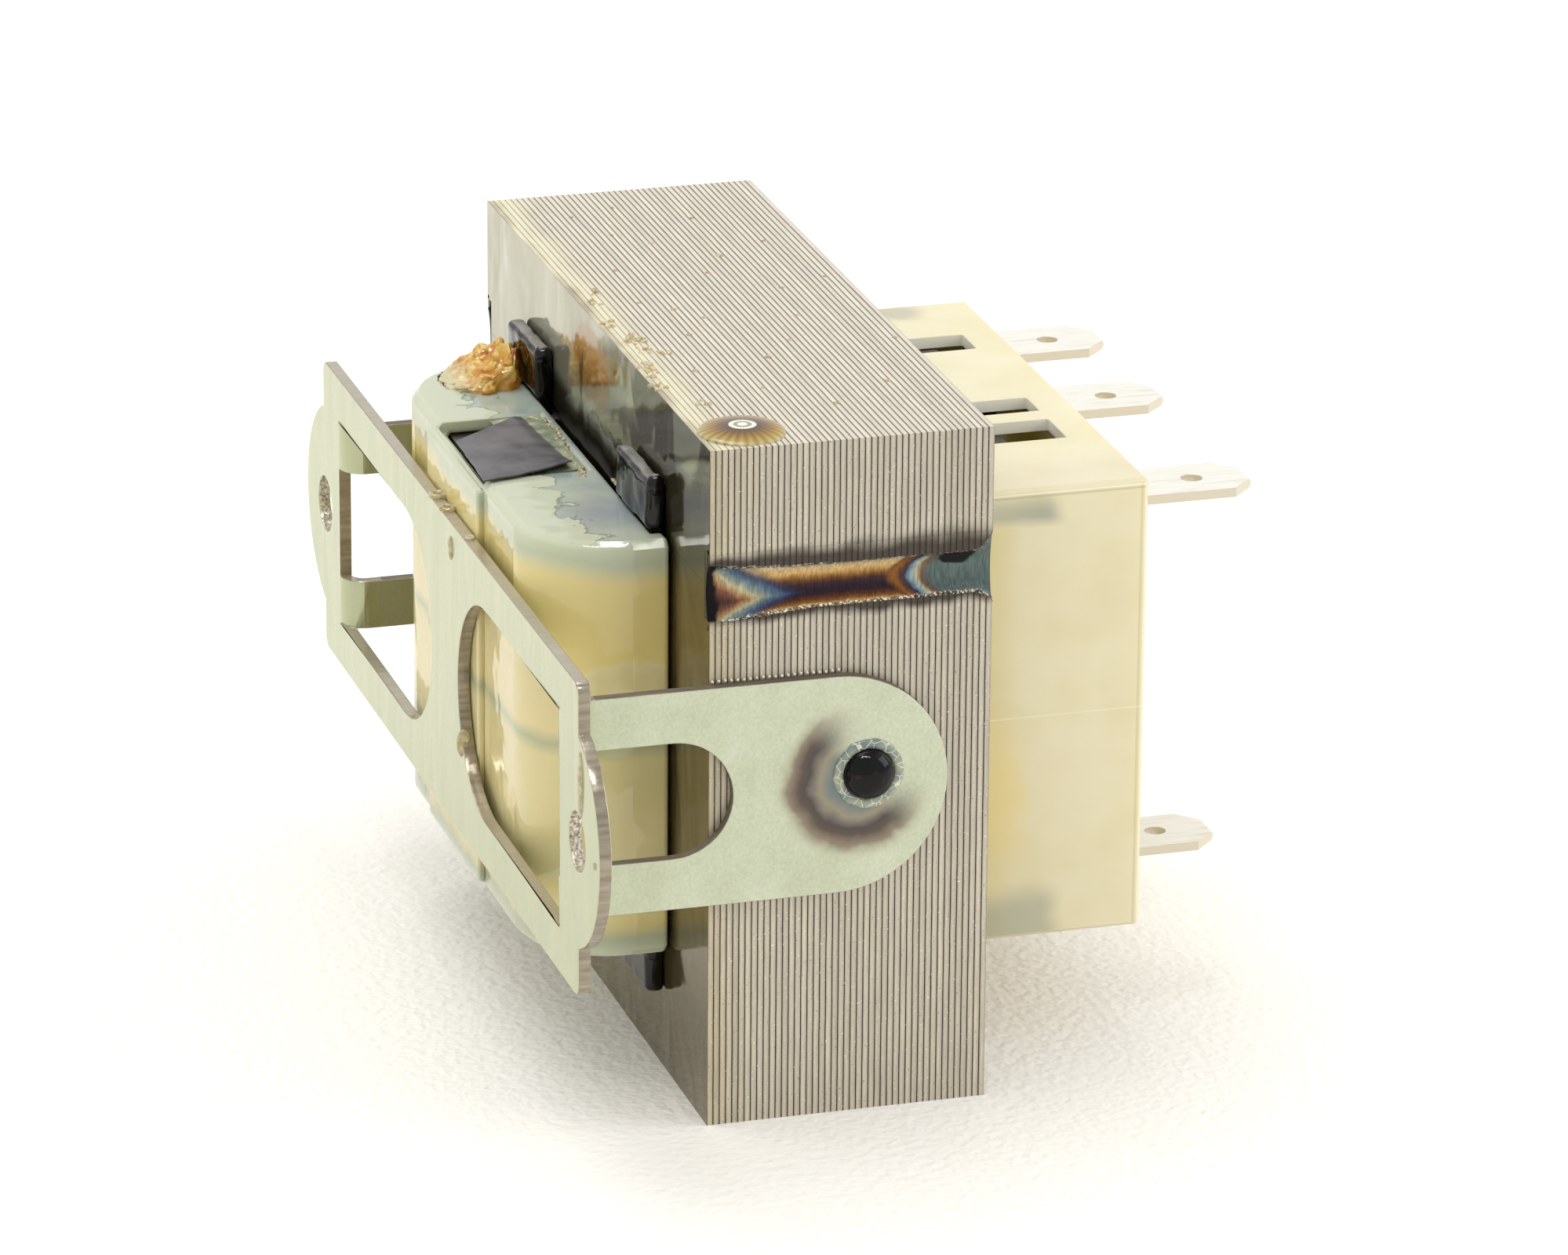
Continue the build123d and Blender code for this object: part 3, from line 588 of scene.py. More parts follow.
# Hood on the bracket side: natural nylon, moulded 1 mm thick, so the flanges of the bobbin
# show through it: they are painted as grey-green bands of shade on its sides, and as blue-grey
# shade on its top. The dip has left brown tide marks on its sides, and its wet top shows pale
# and dark patches with ragged edges.
hood_low, hood_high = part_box("bracket_side_hood")
hood_ease = 0.38 * mm
tide_level, lower_tide = 37.5 * mm, 20.2 * mm
shore_x = -12.3 * mm

# Moulded natural nylon under varnish: milky, as light goes a little way in, with a wet gloss.
hood, shader, add, place = start_material(
    "varnished_natural_nylon", Roughness=0.07, Subsurface_Weight=0.12, Subsurface_Scale=0.004,
)
normal = add("TexCoord").outputs["Normal"]
x, y, z = add("SeparateXYZ", place).outputs
facing = add("SeparateXYZ", normal).outputs["Z"]
waves = add("TexNoise", {"Vector": place, "Scale": 1 / (6 * mm), "Detail": 3.0})
sway = add("Math", waves, 1.6 * mm, z, operation="MULTIPLY_ADD")
rise = add("MapRange", sway, hood_low[2] + 0.8 * mm, hood_high[2] + 0.8 * mm)
# Painted shade: the grey-green bands are the bobbin's flanges seen through the wall.
bands = add("ValToRGB", rise, stops=(
    (0.0, "#ced2b4"), (0.05, "#a9b299"), (0.10, "#d6d3a6"), (0.3, "#e2d39a"), (0.475, "#dccf98"),
    (0.505, "#b3b68e"), (0.535, "#dfcf98"), (0.75, "#e2d49c"), (0.90, "#dcd3a2"), (0.955, "#bdc3a4"),
    (1.0, "#cbd0b4"),
))
tide_marks = add("TexNoise", {"Vector": place, "Scale": 1 / (9 * mm), "Detail": 3.0, "Distortion": 0.4})
tide = add("Math", tide_marks, 7 * mm, z, operation="MULTIPLY_ADD")
above = add("MapRange", tide, tide_level - 0.1 * mm, tide_level + 0.2 * mm)
under_rim = add("MapRange", sway, 43.4 * mm, 42.0 * mm)
upper_stain = add("Math", above, under_rim, operation="MULTIPLY")
lower_stain = add("MapRange", tide, lower_tide + 0.2 * mm, lower_tide - 0.2 * mm)
foot = add("MapRange", sway, 12.4 * mm, 14.0 * mm)
lower_stain = add("Math", lower_stain, foot, operation="MULTIPLY")
stain = add("Math", upper_stain, lower_stain, operation="MAXIMUM")
stain = add("Math", stain, 0.5, operation="MULTIPLY")
stained = add("MixRGB", stain, bands, "#efd376")
edge_of_tide = band(add, tide, tide_level, 0.45 * mm, 0.0, 0.3)
stained = add("MixRGB", edge_of_tide, stained, "#f0e6b8")
ragged = add("TexNoise", {"Vector": place, "Scale": 1 / (3.2 * mm), "Detail": 5.0, "Distortion": 0.8})
reach = add("Math", ragged, 10 * mm, x, operation="MULTIPLY_ADD")
pale = add("MapRange", reach, shore_x, shore_x - 0.3 * mm)
# Painted shade: the top is painted blue-grey where the flange lies under the wall and shows through it.
painted_flange_shade_top = add("ValToRGB", waves, stops=((0.35, "#9aa6a1"), (0.5, "#acb6a9"), (0.65, "#b7beaa")))
lilac_middle = (-14.8 * mm, -15.5 * mm, 44.6 * mm)
lilac_at = add("VectorMath", place, lilac_middle, operation="DISTANCE").outputs["Value"]
lilac = add("MapRange", lilac_at, 5.0 * mm, 1.0 * mm, 0.0, 0.6)
painted_flange_shade_top = add("MixRGB", lilac, painted_flange_shade_top, "#868ca0")
top = add("MixRGB", pale, painted_flange_shade_top, "#cbd0b5")
shore = band(add, reach, shore_x, 0.28 * mm, 0.06 * mm, 0.7)
inland = add("MapRange", x, hood_low[0] + 2.0 * mm, hood_low[0] + 3.0 * mm)
shore = add("Math", shore, inland, operation="MULTIPLY")
top = add("MixRGB", shore, top, "#747f70")
on_top = add("MapRange", facing, 0.6, 0.95)
topped = add("MixRGB", on_top, stained, top)
slump = add("TexNoise", {"Vector": place, "Scale": 1 / (2.6 * mm), "Detail": 1.0})
relief = add("Bump", {"Height": slump, "Distance": 0.35 * mm, "Strength": 0.3})
feed(shader, {"Base Color": topped, "Normal": relief, "Subsurface Radius": (1.0, 0.8, 0.4)})
dress("bracket_side_hood", hood)
ease_edges("bracket_side_hood", hood_ease)


# Tape patch: black film cut by hand and laid over the pocket in the hood. Its near edge has
# curled up and its core side is folded down. Old glue has dried beside it in a pale skin.
tape_corners = ((-21.6, 3.2), (-14.9, 8.5), (-14.3, -4.9), (-21.9, -6.7))
tape_thickness = 0.13 * mm
tape_lift, tape_curl, tape_fold = 0.16 * mm, 0.8 * mm, 0.35 * mm
pocket_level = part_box("tape_patch")[0][2]

# Black film: a dark grey sheet with a soft sheen, rubbed duller in places.
tape_black, shader, add, place = start_material("black_film_tape", Roughness=0.3)
stops = ((0.35, "#48464a"), (0.65, "#6a6769"))
rub, tone, relief = mottle(add, place, 2.4 * mm, 4.0, stops, 0.25 * mm, 0.35)
dull = add("MapRange", rub, 0.0, 1.0, 0.22, 0.5)
feed(shader, {"Base Color": tone, "Roughness": dull, "Normal": relief})


def bent_sheet(corners, thickness, height_at):
    """A thin sheet between four corners, whose height comes from its place along both sides."""
    waviness, wave_over = 0.12 * mm, 1.1 * mm
    bpy.ops.mesh.primitive_grid_add(x_subdivisions=30, y_subdivisions=30, size=1.0)
    sheet = bpy.context.object
    for vertex in sheet.data.vertices:
        u, v = vertex.co.x + 0.5, vertex.co.y + 0.5
        corner = [Vector((cx, cy, 0)) * mm for cx, cy in corners]
        spot = corner[0].lerp(corner[1], u).lerp(corner[3].lerp(corner[2], u), v)
        wave = noise.noise(spot / wave_over) * waviness
        spot += Vector((wave, wave, 0))
        vertex.co = (spot.x, spot.y, height_at(spot, u, v))
    shape_by(sheet, "SOLIDIFY", thickness=thickness)
    bpy.ops.object.mode_set(mode="EDIT")
    bpy.ops.mesh.select_all(action="SELECT")
    bpy.ops.mesh.normals_make_consistent(inside=False)
    bpy.ops.object.mode_set(mode="OBJECT")
    bpy.ops.object.shade_smooth_by_angle(angle=radians(40))
    return sheet


def tape_height(spot, u, v):
    """The tape's level: ruffled all over, curled up along its near edge, folded by the core."""
    curl = max(0.0, v - 0.8) / 0.2 * max(0.0, u - 0.35)
    fold = tape_fold * max(0.0, u - 0.88) / 0.12
    ruffle = noise.noise(spot / (2.2 * mm)) * 0.06 * mm
    return pocket_level + tape_lift + ruffle + tape_curl * curl ** 1.5 - fold * (1 - v)


tape = bent_sheet(tape_corners, tape_thickness, tape_height)
finish_piece(tape, "tape_patch_curled", tape_black, "tape_film", "tape_patch")

# Dried glue: a glossy, wrinkled skin of a dull green.
glue_skin, shader, add, place = start_material("dried_glue_skin", Roughness=0.08)
stops = ((0.3, "#7c866f"), (0.52, "#949d83"), (0.7, "#b4b58e"))
tone, relief = mottle(add, place, 1.2 * mm, 4.0, stops, 0.3 * mm, 0.6)[1:]
feed(shader, {"Base Color": tone, "Normal": relief})
glue_corners = ((-17.4, 8.7), (-13.4, 8.7), (-13.4, -5.2), (-17.4, -5.2))
glue_thickness, glue_sunk, glue_rise = 0.12 * mm, 0.35 * mm, 0.3 * mm
glue = bent_sheet(glue_corners, glue_thickness, lambda spot, u, v: pocket_level - glue_sunk + glue_rise * u)
finish_piece(glue, "pocket_glue_skin", glue_skin, "varnish")


# Resin lump: varnish that pooled and set on the hood against the far lug. A thin clear tongue
# spreads from it over the hood, and its body is a craggy mass of amber crystals, deepest in
# colour next to the lug.
lump_low, lump_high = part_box("resin_lump")

# Set resin: some light goes through it, so it glows orange where it is deep and pales where it
# is thin, and its crags sparkle.
amber, shader, add, place = start_material(
    "set_amber_resin", Roughness=0.03, Transmission_Weight=0.3, IOR=1.5,
)
x, y, z = add("SeparateXYZ", place).outputs
depths = add("TexNoise", {"Vector": place, "Scale": 1 / (1.5 * mm), "Detail": 3.0, "Distortion": 0.8})
glow = add("ValToRGB", depths, stops=(
    (0.3, "#b8640a"), (0.42, "#e09420"), (0.5, "#f5bc48"), (0.57, "#ffdf80"), (0.66, "#eaa62c"),
))
deep = add("MapRange", x, lump_low[0] + 2.5 * mm, lump_high[0], 0.0, 0.55)
low_down = add("MapRange", z, lump_low[2] + 2.2 * mm, lump_low[2])
deep = add("Math", deep, low_down, operation="MULTIPLY")
deepened = add("MixRGB", deep, glow, "#b25c10")
thin = add("MapRange", x, lump_low[0] + 2.6 * mm, lump_low[0] + 0.6 * mm, 0.0, 0.85)
cleared = add("MixRGB", thin, deepened, "#f0eabf")
cells = add("TexVoronoi", {"Vector": place, "Scale": 1 / (0.9 * mm)}, feature="SMOOTH_F1")
relief = add("Bump", {"Height": cells, "Distance": 0.3 * mm, "Strength": 0.3})
feed(shader, {"Base Color": cleared, "Normal": relief})
lump_middle = Vector(((lump_low[0] + lump_high[0]) / 2, (lump_low[1] + lump_high[1]) / 2, lump_low[2]))
lump_length, lump_width = lump_high[0] - lump_low[0], lump_high[1] - lump_low[1]
tongue_height, crag_height, spare_height = 0.45 * mm, 3.9 * mm, 0.2 * mm
bpy.ops.mesh.primitive_ico_sphere_add(subdivisions=6, radius=1.0)
lump = bpy.context.object
for vertex in lump.data.vertices:
    way = vertex.co.copy()
    crag = noise.cell_vector(way * 4.0) - Vector((0.5, 0.5, 0.5))
    swell = 1 + 0.16 * noise.noise(way * 2.1) + 0.08 * noise.noise(way * 6.0) + 0.05 * crag.x
    x = lump_middle.x + way.x * lump_length / 2 * swell
    y = lump_middle.y + way.y * lump_width / 2 * swell
    toward_lug = max(0.0, min(1.0, (x - lump_low[0]) / lump_length))
    peak = tongue_height + crag_height * toward_lug ** 1.5
    crumbs = 0.98 + 0.55 * noise.noise(way * 3.1 + Vector((3, 1, 0))) + 0.07 * noise.noise(way * 7.0)
    z = min(lump_high[2] + spare_height, lump_low[2] + max(0.0, way.z) ** 0.6 * peak * crumbs)
    vertex.co = (min(x, lump_high[0]), y, z if way.z > 0 else lump_low[2])
bpy.ops.object.shade_smooth_by_angle(angle=radians(45))
finish_piece(lump, "resin_lump_crags", amber, "varnish", "resin_lump")


# Hood over the terminals: the same natural nylon, moulded as a sharp box and left clean. The
# ends of the flanges show through its sides as painted shadow, and the yellow wrapped coil next
# to the core shows through as painted light.
box_ease = 0.2 * mm
flange_end = 20.5 * mm
slot_floor, box_end, box_side = 44.9 * mm, 26.4 * mm, 22.6 * mm

# Moulded natural nylon, clean: the same milky cream with a satin face.
box_nylon, shader, add, place = start_material(
    "clean_natural_nylon", Roughness=0.2, Subsurface_Weight=0.12, Subsurface_Scale=0.004,
)
normal = add("TexCoord").outputs["Normal"]
x, y, z = add("SeparateXYZ", place).outputs
facing = add("VectorMath", normal, operation="ABSOLUTE")
ny, nz = add("SeparateXYZ", facing).outputs[1:]
on_side = add("MapRange", ny, 0.8, 0.95)
cloud = add("TexNoise", {"Vector": place, "Scale": 1 / (5 * mm), "Detail": 2.0})
plain = add("ValToRGB", cloud, stops=((0.3, "#e5dab0"), (0.7, "#ebe1bd")))
# Painted light: the yellow wrap of the coil, seen through the wall next to the core.
painted_coil_show_through = add("MapRange", x, 17.2 * mm, 14.0 * mm, 0.0, 0.55, interpolation_type="SMOOTHSTEP")
inside = add("MapRange", z, 44.5 * mm, 42.5 * mm)
painted_coil_show_through = add("Math", painted_coil_show_through, inside, operation="MULTIPLY")
# Painted shadow: the ends of the flanges, seen through the sides, are painted grey-green.
sway = add("Math", cloud, 1.6 * mm, -0.8 * mm, operation="MULTIPLY_ADD")
level = add("Math", sway, z, operation="ADD")
over = add("MapRange", level, 43.0 * mm, 43.9 * mm)
under = add("MapRange", level, 46.2 * mm, 44.2 * mm, interpolation_type="SMOOTHSTEP")
upper = add("Math", over, under, operation="MULTIPLY")
toward_end = add("MapRange", x, 13.0 * mm, 20.0 * mm, 0.4, 0.8)
upper = add("Math", upper, toward_end, operation="MULTIPLY")
lower = add("MapRange", level, 13.6 * mm, 11.2 * mm, 0.0, 0.55, interpolation_type="SMOOTHSTEP")
show = add("Math", upper, lower, operation="MAXIMUM")
reached = add("Math", sway, x, operation="ADD")
faded, full = flange_end + 0.5 * mm, flange_end - 1.8 * mm
short = add("MapRange", reached, faded, full, interpolation_type="SMOOTHSTEP")
show = add("Math", show, short, operation="MULTIPLY")
show = add("Math", show, on_side, operation="MULTIPLY")
rose = add("MapRange", y, -14 * mm, -20 * mm, 0.0, 0.25)
rose = add("Math", rose, nz, operation="MULTIPLY")
# Painted light: a yellow glow low on the near side, the coil's wrap seen through the wall.
glow_middle = (15.6 * mm, -23.3 * mm, 21.0 * mm)
glow = patch(add, place, glow_middle, (1.0, 0.2, 0.4), cloud, 3 * mm, 4.4 * mm, 2.2 * mm, 0.55, "SMOOTHSTEP")
coats = [(painted_coil_show_through, "#dfcb82"), (show, "#8f998b"), (rose, "#c9b9a6"), (glow, "#efd583")]
# Lines on the sides: the end wall, painted as seen through the side; a dark line under the rim; a bright line
# along the rim, which is a painted highlight; and the moulding's parting line.
for along, line, half, weight, colour in (
    (x, 26.55 * mm, 0.14 * mm, 0.30, "#b3a97f"), (z, 45.5 * mm, 0.12 * mm, 0.40, "#a89f7c"),
    (z, 45.75 * mm, 0.1 * mm, 0.7, "#fbf6df"), (z, 27.3 * mm, 0.09 * mm, 0.45, "#f6efd4"),
):
    line_at = band(add, along, line, half, half / 2, weight)
    coats.append((add("Math", line_at, on_side, operation="MULTIPLY"), colour))
# Painted light: the walls of the slots in the top are painted near white, as light comes through the thin
# nylon.
painted_slot_light = add("Math", z, slot_floor, operation="GREATER_THAN")
off_middle = add("Math", y, operation="ABSOLUTE")
for measure, limit in ((nz, 0.5), (x, box_end), (off_middle, box_side)):
    inside = add("Math", measure, limit, operation="LESS_THAN")
    painted_slot_light = add("Math", painted_slot_light, inside, operation="MULTIPLY")
smudge_middle, even = (20.6 * mm, 21.8 * mm, 46.2 * mm), (1.0, 1.0, 1.0)
smudge = patch(add, place, smudge_middle, even, cloud, 2 * mm, 4.0 * mm, 1.6 * mm, 0.5, "SMOOTHSTEP")
coats += [(painted_slot_light, "#fffbe8"), (smudge, "#8f9187")]
for share, colour in coats:
    plain = add("MixRGB", share, plain, colour)
relief = add("Bump", {"Height": cloud, "Distance": 0.1 * mm, "Strength": 0.2})
feed(shader, {"Base Color": plain, "Normal": relief, "Subsurface Radius": (1.0, 0.8, 0.4)})
dress("terminal_hood", box_nylon)
ease_edges("terminal_hood", box_ease)


# Blades: punched from brass strip and tinned bright, with duller cut sides.
blade_ease = 0.07 * mm

# Bright tin: nearly white, with faint lines along the strip from drawing and handling. They are
# too fine to show, so they are drawn 0.5 mm apart.
tin, shader, add, place = start_material("bright_tinned_brass", Metallic=0.3)
normal = add("TexCoord").outputs["Normal"]
upward = add("SeparateXYZ", normal).outputs["Z"]
flat_face = add("Math", upward, operation="ABSOLUTE")
drawn_at = add("Mapping", {"Vector": place, "Scale": (0.12, 1.0, 1.0)})
stops = ((0.32, "#dfdacb"), (0.42, "#ece9de"), (0.7, "#f2efe6"))
drawn, tone, relief = mottle(add, drawn_at, 0.5 * mm, 4.0, stops, 0.01 * mm, 0.4)
is_side = add("MapRange", flat_face, 0.95, 0.75, 0.0, 0.9)
sided = add("MixRGB", is_side, tone, "#d6ccb6")
dull = add("MapRange", drawn, 0.0, 1.0, 0.25, 0.42)
feed(shader, {"Base Color": sided, "Roughness": dull, "Normal": relief})
for name in ("primary_tab_1", "primary_tab_2", "primary_tab_3", "secondary_tab_1", "secondary_tab_2"):
    dress(name, tin)
    ease_edges(name, blade_ease)


# Bracket: 1 mm steel sheet, zinc plated and passivated to a pale green-grey, punched and
# folded. Its cut edges are bare and brown, varnish has run down the plate in milky streaks, and
# the heat of each plug weld has browned the arm round it.
sheet_thickness = 1.0 * mm
bracket_ease = 0.09 * mm
ear_hole_y, ear_hole_z, ear_hole_reach = 40.0 * mm, 27.5 * mm, 2.9 * mm
bracket_low, bracket_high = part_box("bracket")
plate_front = bracket_low[0]
plate_back = plate_front + sheet_thickness
weld_low, weld_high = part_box("bracket_weld_front")
plug_x = (weld_low[0] + weld_high[0]) / 2
plug_z = (weld_low[2] + weld_high[2]) / 2
brown_side, ring_span = radians(222), 8 * mm

# Passivated zinc: a pale green-grey bloom, half metallic. Its grain is too fine to show, so it is
# drawn 0.22 mm wide.
zinc, shader, add, place = start_material("passivated_zinc_sheet")
normal = add("TexCoord").outputs["Normal"]
x, y, z = add("SeparateXYZ", place).outputs
facing = add("VectorMath", normal, operation="ABSOLUTE")
nx, ny, nz = add("SeparateXYZ", facing).outputs
bloom = add("TexNoise", {"Vector": place, "Scale": 1 / (3.5 * mm), "Detail": 3.0})
base = add("ValToRGB", bloom, stops=((0.3, "#c0c6ab"), (0.5, "#c6ccb2"), (0.7, "#cbd0b8")))
grain = add("TexNoise", {"Vector": place, "Scale": 1 / (0.22 * mm), "Detail": 2.0})
grain_tone = add("MapRange", grain, 0.3, 0.7, 0.93, 1.06)
base = add("MixRGB", 1.0, base, grain_tone, blend_type="MULTIPLY")
runs_at = add("Mapping", {"Vector": place, "Scale": (1.0, 1.0, 0.22)})
runs = add("TexNoise", {"Vector": runs_at, "Scale": 1 / (2.6 * mm), "Detail": 3.0, "Distortion": 0.4})
milk = add("ValToRGB", runs, stops=((0.32, "#b1b790"), (0.46, "#b6bb91"), (0.62, "#bbbe94")))
on_plate = add("MapRange", x, -20.0 * mm, -21.5 * mm, 0.0, 0.75)
washed = add("MixRGB", on_plate, base, milk)

# The plug weld's heat browned a ring on the arm, strongest below and towards the plate.
ring_at = add("VectorMath", place, (plug_x - 0.8 * mm, 0.0, plug_z + 0.4 * mm), operation="SUBTRACT")
ring_at = add("VectorMath", ring_at, (1.0, 0.0, 1.0), operation="MULTIPLY")
ring = add("VectorMath", ring_at, operation="LENGTH").outputs["Value"]
ring_way = add("VectorMath", ring_at, operation="NORMALIZE")
brown_way = (cos(brown_side), 0.0, sin(brown_side))
turned = add("VectorMath", ring_way, brown_way, operation="DOT_PRODUCT").outputs["Value"]
smoke = add("TexNoise", {"Vector": place, "Scale": 1 / (2.0 * mm), "Detail": 2.0, "Distortion": 0.3})
ring = add("Math", smoke, 1.2 * mm, ring, operation="MULTIPLY_ADD")
ring = add("Math", ring, 1 / ring_span, -0.06, operation="MULTIPLY_ADD")
heat = add("ValToRGB", ring, stops=(
    (0.22, "#66757b"), (0.33, "#7b837d"), (0.40, "#958d77"), (0.46, "#797169"), (0.53, "#4f4946"),
    (0.60, "#5d5048"), (0.70, "#8b7f6d"), (0.80, "#b4b39a"), (0.90, "#c7cdb2"),
))
window = add("MapRange", turned, -0.78, 0.2, interpolation_type="SMOOTHSTEP")
faded = add("MapRange", ring, 0.86, 0.7)
window = add("Math", window, faded, operation="MULTIPLY")
browned = add("MixRGB", window, washed, heat)

# Bare cut edges, on the plate and the arms, and the torn threads in the ears' holes.
upright = add("Math", nz, 0.6, operation="GREATER_THAN")
plate_there = add("Math", x, plate_back + 0.02 * mm, operation="LESS_THAN")
plate_side = add("Math", nx, 0.42, operation="LESS_THAN")
plate_cut = add("Math", plate_there, plate_side, operation="MULTIPLY")
arm_there = add("Math", x, plate_front + 3.1 * mm, operation="GREATER_THAN")
arm_side = add("Math", ny, 0.42, operation="LESS_THAN")
arm_cut = add("Math", arm_there, arm_side, operation="MULTIPLY")
cut = add("Math", upright, plate_cut, operation="MAXIMUM")
cut = add("Math", cut, arm_cut, operation="MAXIMUM")
shear_at = add("Mapping", {"Vector": place, "Scale": (0.12, 1.0, 1.0)})
shear = add("TexNoise", {"Vector": shear_at, "Scale": 1 / (0.4 * mm), "Detail": 2.0})
bare = add("ValToRGB", shear, stops=((0.3, "#857b6b"), (0.5, "#978d7c"), (0.7, "#a89e8c")))
hole_at = add("Math", y, operation="ABSOLUTE")
hole_at = add("CombineXYZ", 0.0, hole_at, z)
hole_far = add("VectorMath", hole_at, (0.0, ear_hole_y, ear_hole_z), operation="DISTANCE").outputs["Value"]
hole = add("Math", hole_far, ear_hole_reach, operation="LESS_THAN")
threads = add("ValToRGB", grain, stops=((0.36, "#857b6e"), (0.5, "#c6beab"), (0.64, "#ebe5d7")))
bare = add("MixRGB", hole, bare, threads)
# Painted highlight: the plate's upward cut edges are painted pale.
painted_edge_highlight = add("MapRange", nz, 0.8, 1.0, 0.0, 0.6)
painted_edge_highlight = add("Math", painted_edge_highlight, plate_there, operation="MULTIPLY")
bare = add("MixRGB", painted_edge_highlight, bare, "#c9c2ae")
bared = add("MixRGB", cut, browned, bare)
arm_edge = add("Math", arm_cut, 0.6, operation="MULTIPLY")
bared = add("MixRGB", arm_edge, bared, "#4f463a")
# Painted reflection: the far arm's inner face, beside the core, is painted dark olive, as it mirrors the dark
# parts near it.
far_arm = add("Math", y, core_half_width + 0.05 * mm, operation="LESS_THAN")
past_middle = add("Math", y, core_half_width - 4.0 * mm, operation="GREATER_THAN")
painted_arm_reflection = add("Math", far_arm, past_middle, operation="MULTIPLY")
off_plate = add("Math", x, plate_back + 0.5 * mm, operation="GREATER_THAN")
painted_arm_reflection = add("Math", painted_arm_reflection, off_plate, operation="MULTIPLY")
painted_arm_reflection = add("Math", painted_arm_reflection, 0.75, operation="MULTIPLY")
bared = add("MixRGB", painted_arm_reflection, bared, "#83805a")
wet = add("MapRange", on_plate, 0.0, 1.0, 0.36, 0.14)
wet = add("MixRGB", arm_cut, wet, "#c0c0c0")
relief = add("Bump", {"Height": runs, "Distance": 0.4 * mm, "Strength": 0.22})
relief = add("Bump", {"Height": grain, "Distance": 0.012 * mm, "Strength": 0.5, "Normal": relief})
feed(shader, {"Base Color": bared, "Metallic": 0.45, "Roughness": wet, "Normal": relief})
dress("bracket", zinc)
ease_edges("bracket", bracket_ease)


# Plug welds: steel melted down through a hole in each arm. Each froze as a ball under black
# glassy slag, in a collar of pale flux that has crazed.
ball_radius, ball_squash, ball_rise = 2.08 * mm, 0.72, 0.76 * mm
collar_radius, collar_squash = 2.68 * mm, 0.6

# Slag: black glass with a hard shine and a few brown pits.
slag, shader, add, place = start_material("black_glassy_slag", Roughness=0.05, Specular_IOR_Level=0.22)
stops = ((0.4, "#050405"), (0.62, "#0c0a0c"), (0.7, "#2a1810"))
tone, relief = mottle(add, place, 0.7 * mm, 3.0, stops, 0.08 * mm, 0.4)[1:]
feed(shader, {"Base Color": tone, "Normal": relief})

# Flux: pale blue-grey glass, crazed by cream veins. The cracks are too fine to show, so their
# cells are drawn 0.75 mm wide.
flux, shader, add, place = start_material("crazed_flux_glass", Roughness=0.18)
crazing = add("TexVoronoi", {"Vector": place, "Scale": 1 / (0.75 * mm)}, feature="DISTANCE_TO_EDGE")
vein = add("MapRange", crazing, 0.05, 0.01, 0.0, 0.8)
cloud = add("TexNoise", {"Vector": place, "Scale": 1 / (1.6 * mm), "Detail": 2.0})
glass = add("ValToRGB", cloud, stops=((0.35, "#6f7f82"), (0.6, "#98a193"), (0.7, "#b3b38f")))
veined = add("MixRGB", vein, glass, "#efe9c4")
relief = add("Bump", {"Height": crazing, "Distance": 0.1 * mm, "Strength": 0.5})
feed(shader, {"Base Color": veined, "Normal": relief})


def plug_weld(side, name):
    """A ball standing in its hole, and the collar of flux round it on the arm's face."""
    arm_face = side * (core_half_width + sheet_thickness)
    ball_place = (plug_x, arm_face, plug_z + ball_rise)
    bpy.ops.mesh.primitive_uv_sphere_add(segments=64, ring_count=32, radius=ball_radius, location=ball_place)
    ball = bpy.context.object
    ball.scale.y = ball_squash
    bpy.ops.object.shade_smooth()
    finish_piece(ball, f"{name}_ball", slag, "plug_weld_steel", name)
    middle = (collar_radius + ball_radius) / 2
    thick = (collar_radius - ball_radius) / 2 + 0.12 * mm
    bpy.ops.mesh.primitive_torus_add(
        location=ball_place, rotation=(radians(90), 0, 0), major_radius=middle, minor_radius=thick,
        major_segments=96, minor_segments=24,
    )
    collar = bpy.context.object
    for vertex in collar.data.vertices:
        lumpy = 1 + 0.05 * noise.noise(vertex.co / (0.9 * mm))
        vertex.co = (vertex.co.x * lumpy, vertex.co.y * lumpy, vertex.co.z * collar_squash)
    bpy.ops.object.shade_smooth()
    finish_piece(collar, f"{name}_collar", flux, "plug_weld_steel")


plug_weld(-1, "bracket_weld_front")
plug_weld(1, "bracket_weld_back")


# Varnish: clear amber insulating varnish. A drop lies on the core's top in a brown halo with
# rays, and bubbles, beads and crystals dried where the transformer drained.
drop_low, drop_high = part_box("varnish_drop")
drop_middle = Vector(((drop_low[0] + drop_high[0]) / 2, (drop_low[1] + drop_high[1]) / 2, drop_low[2]))
drop_radius = (drop_high[0] - drop_low[0]) / 2
drop_rise = 0.62 * mm
ray_count = 26

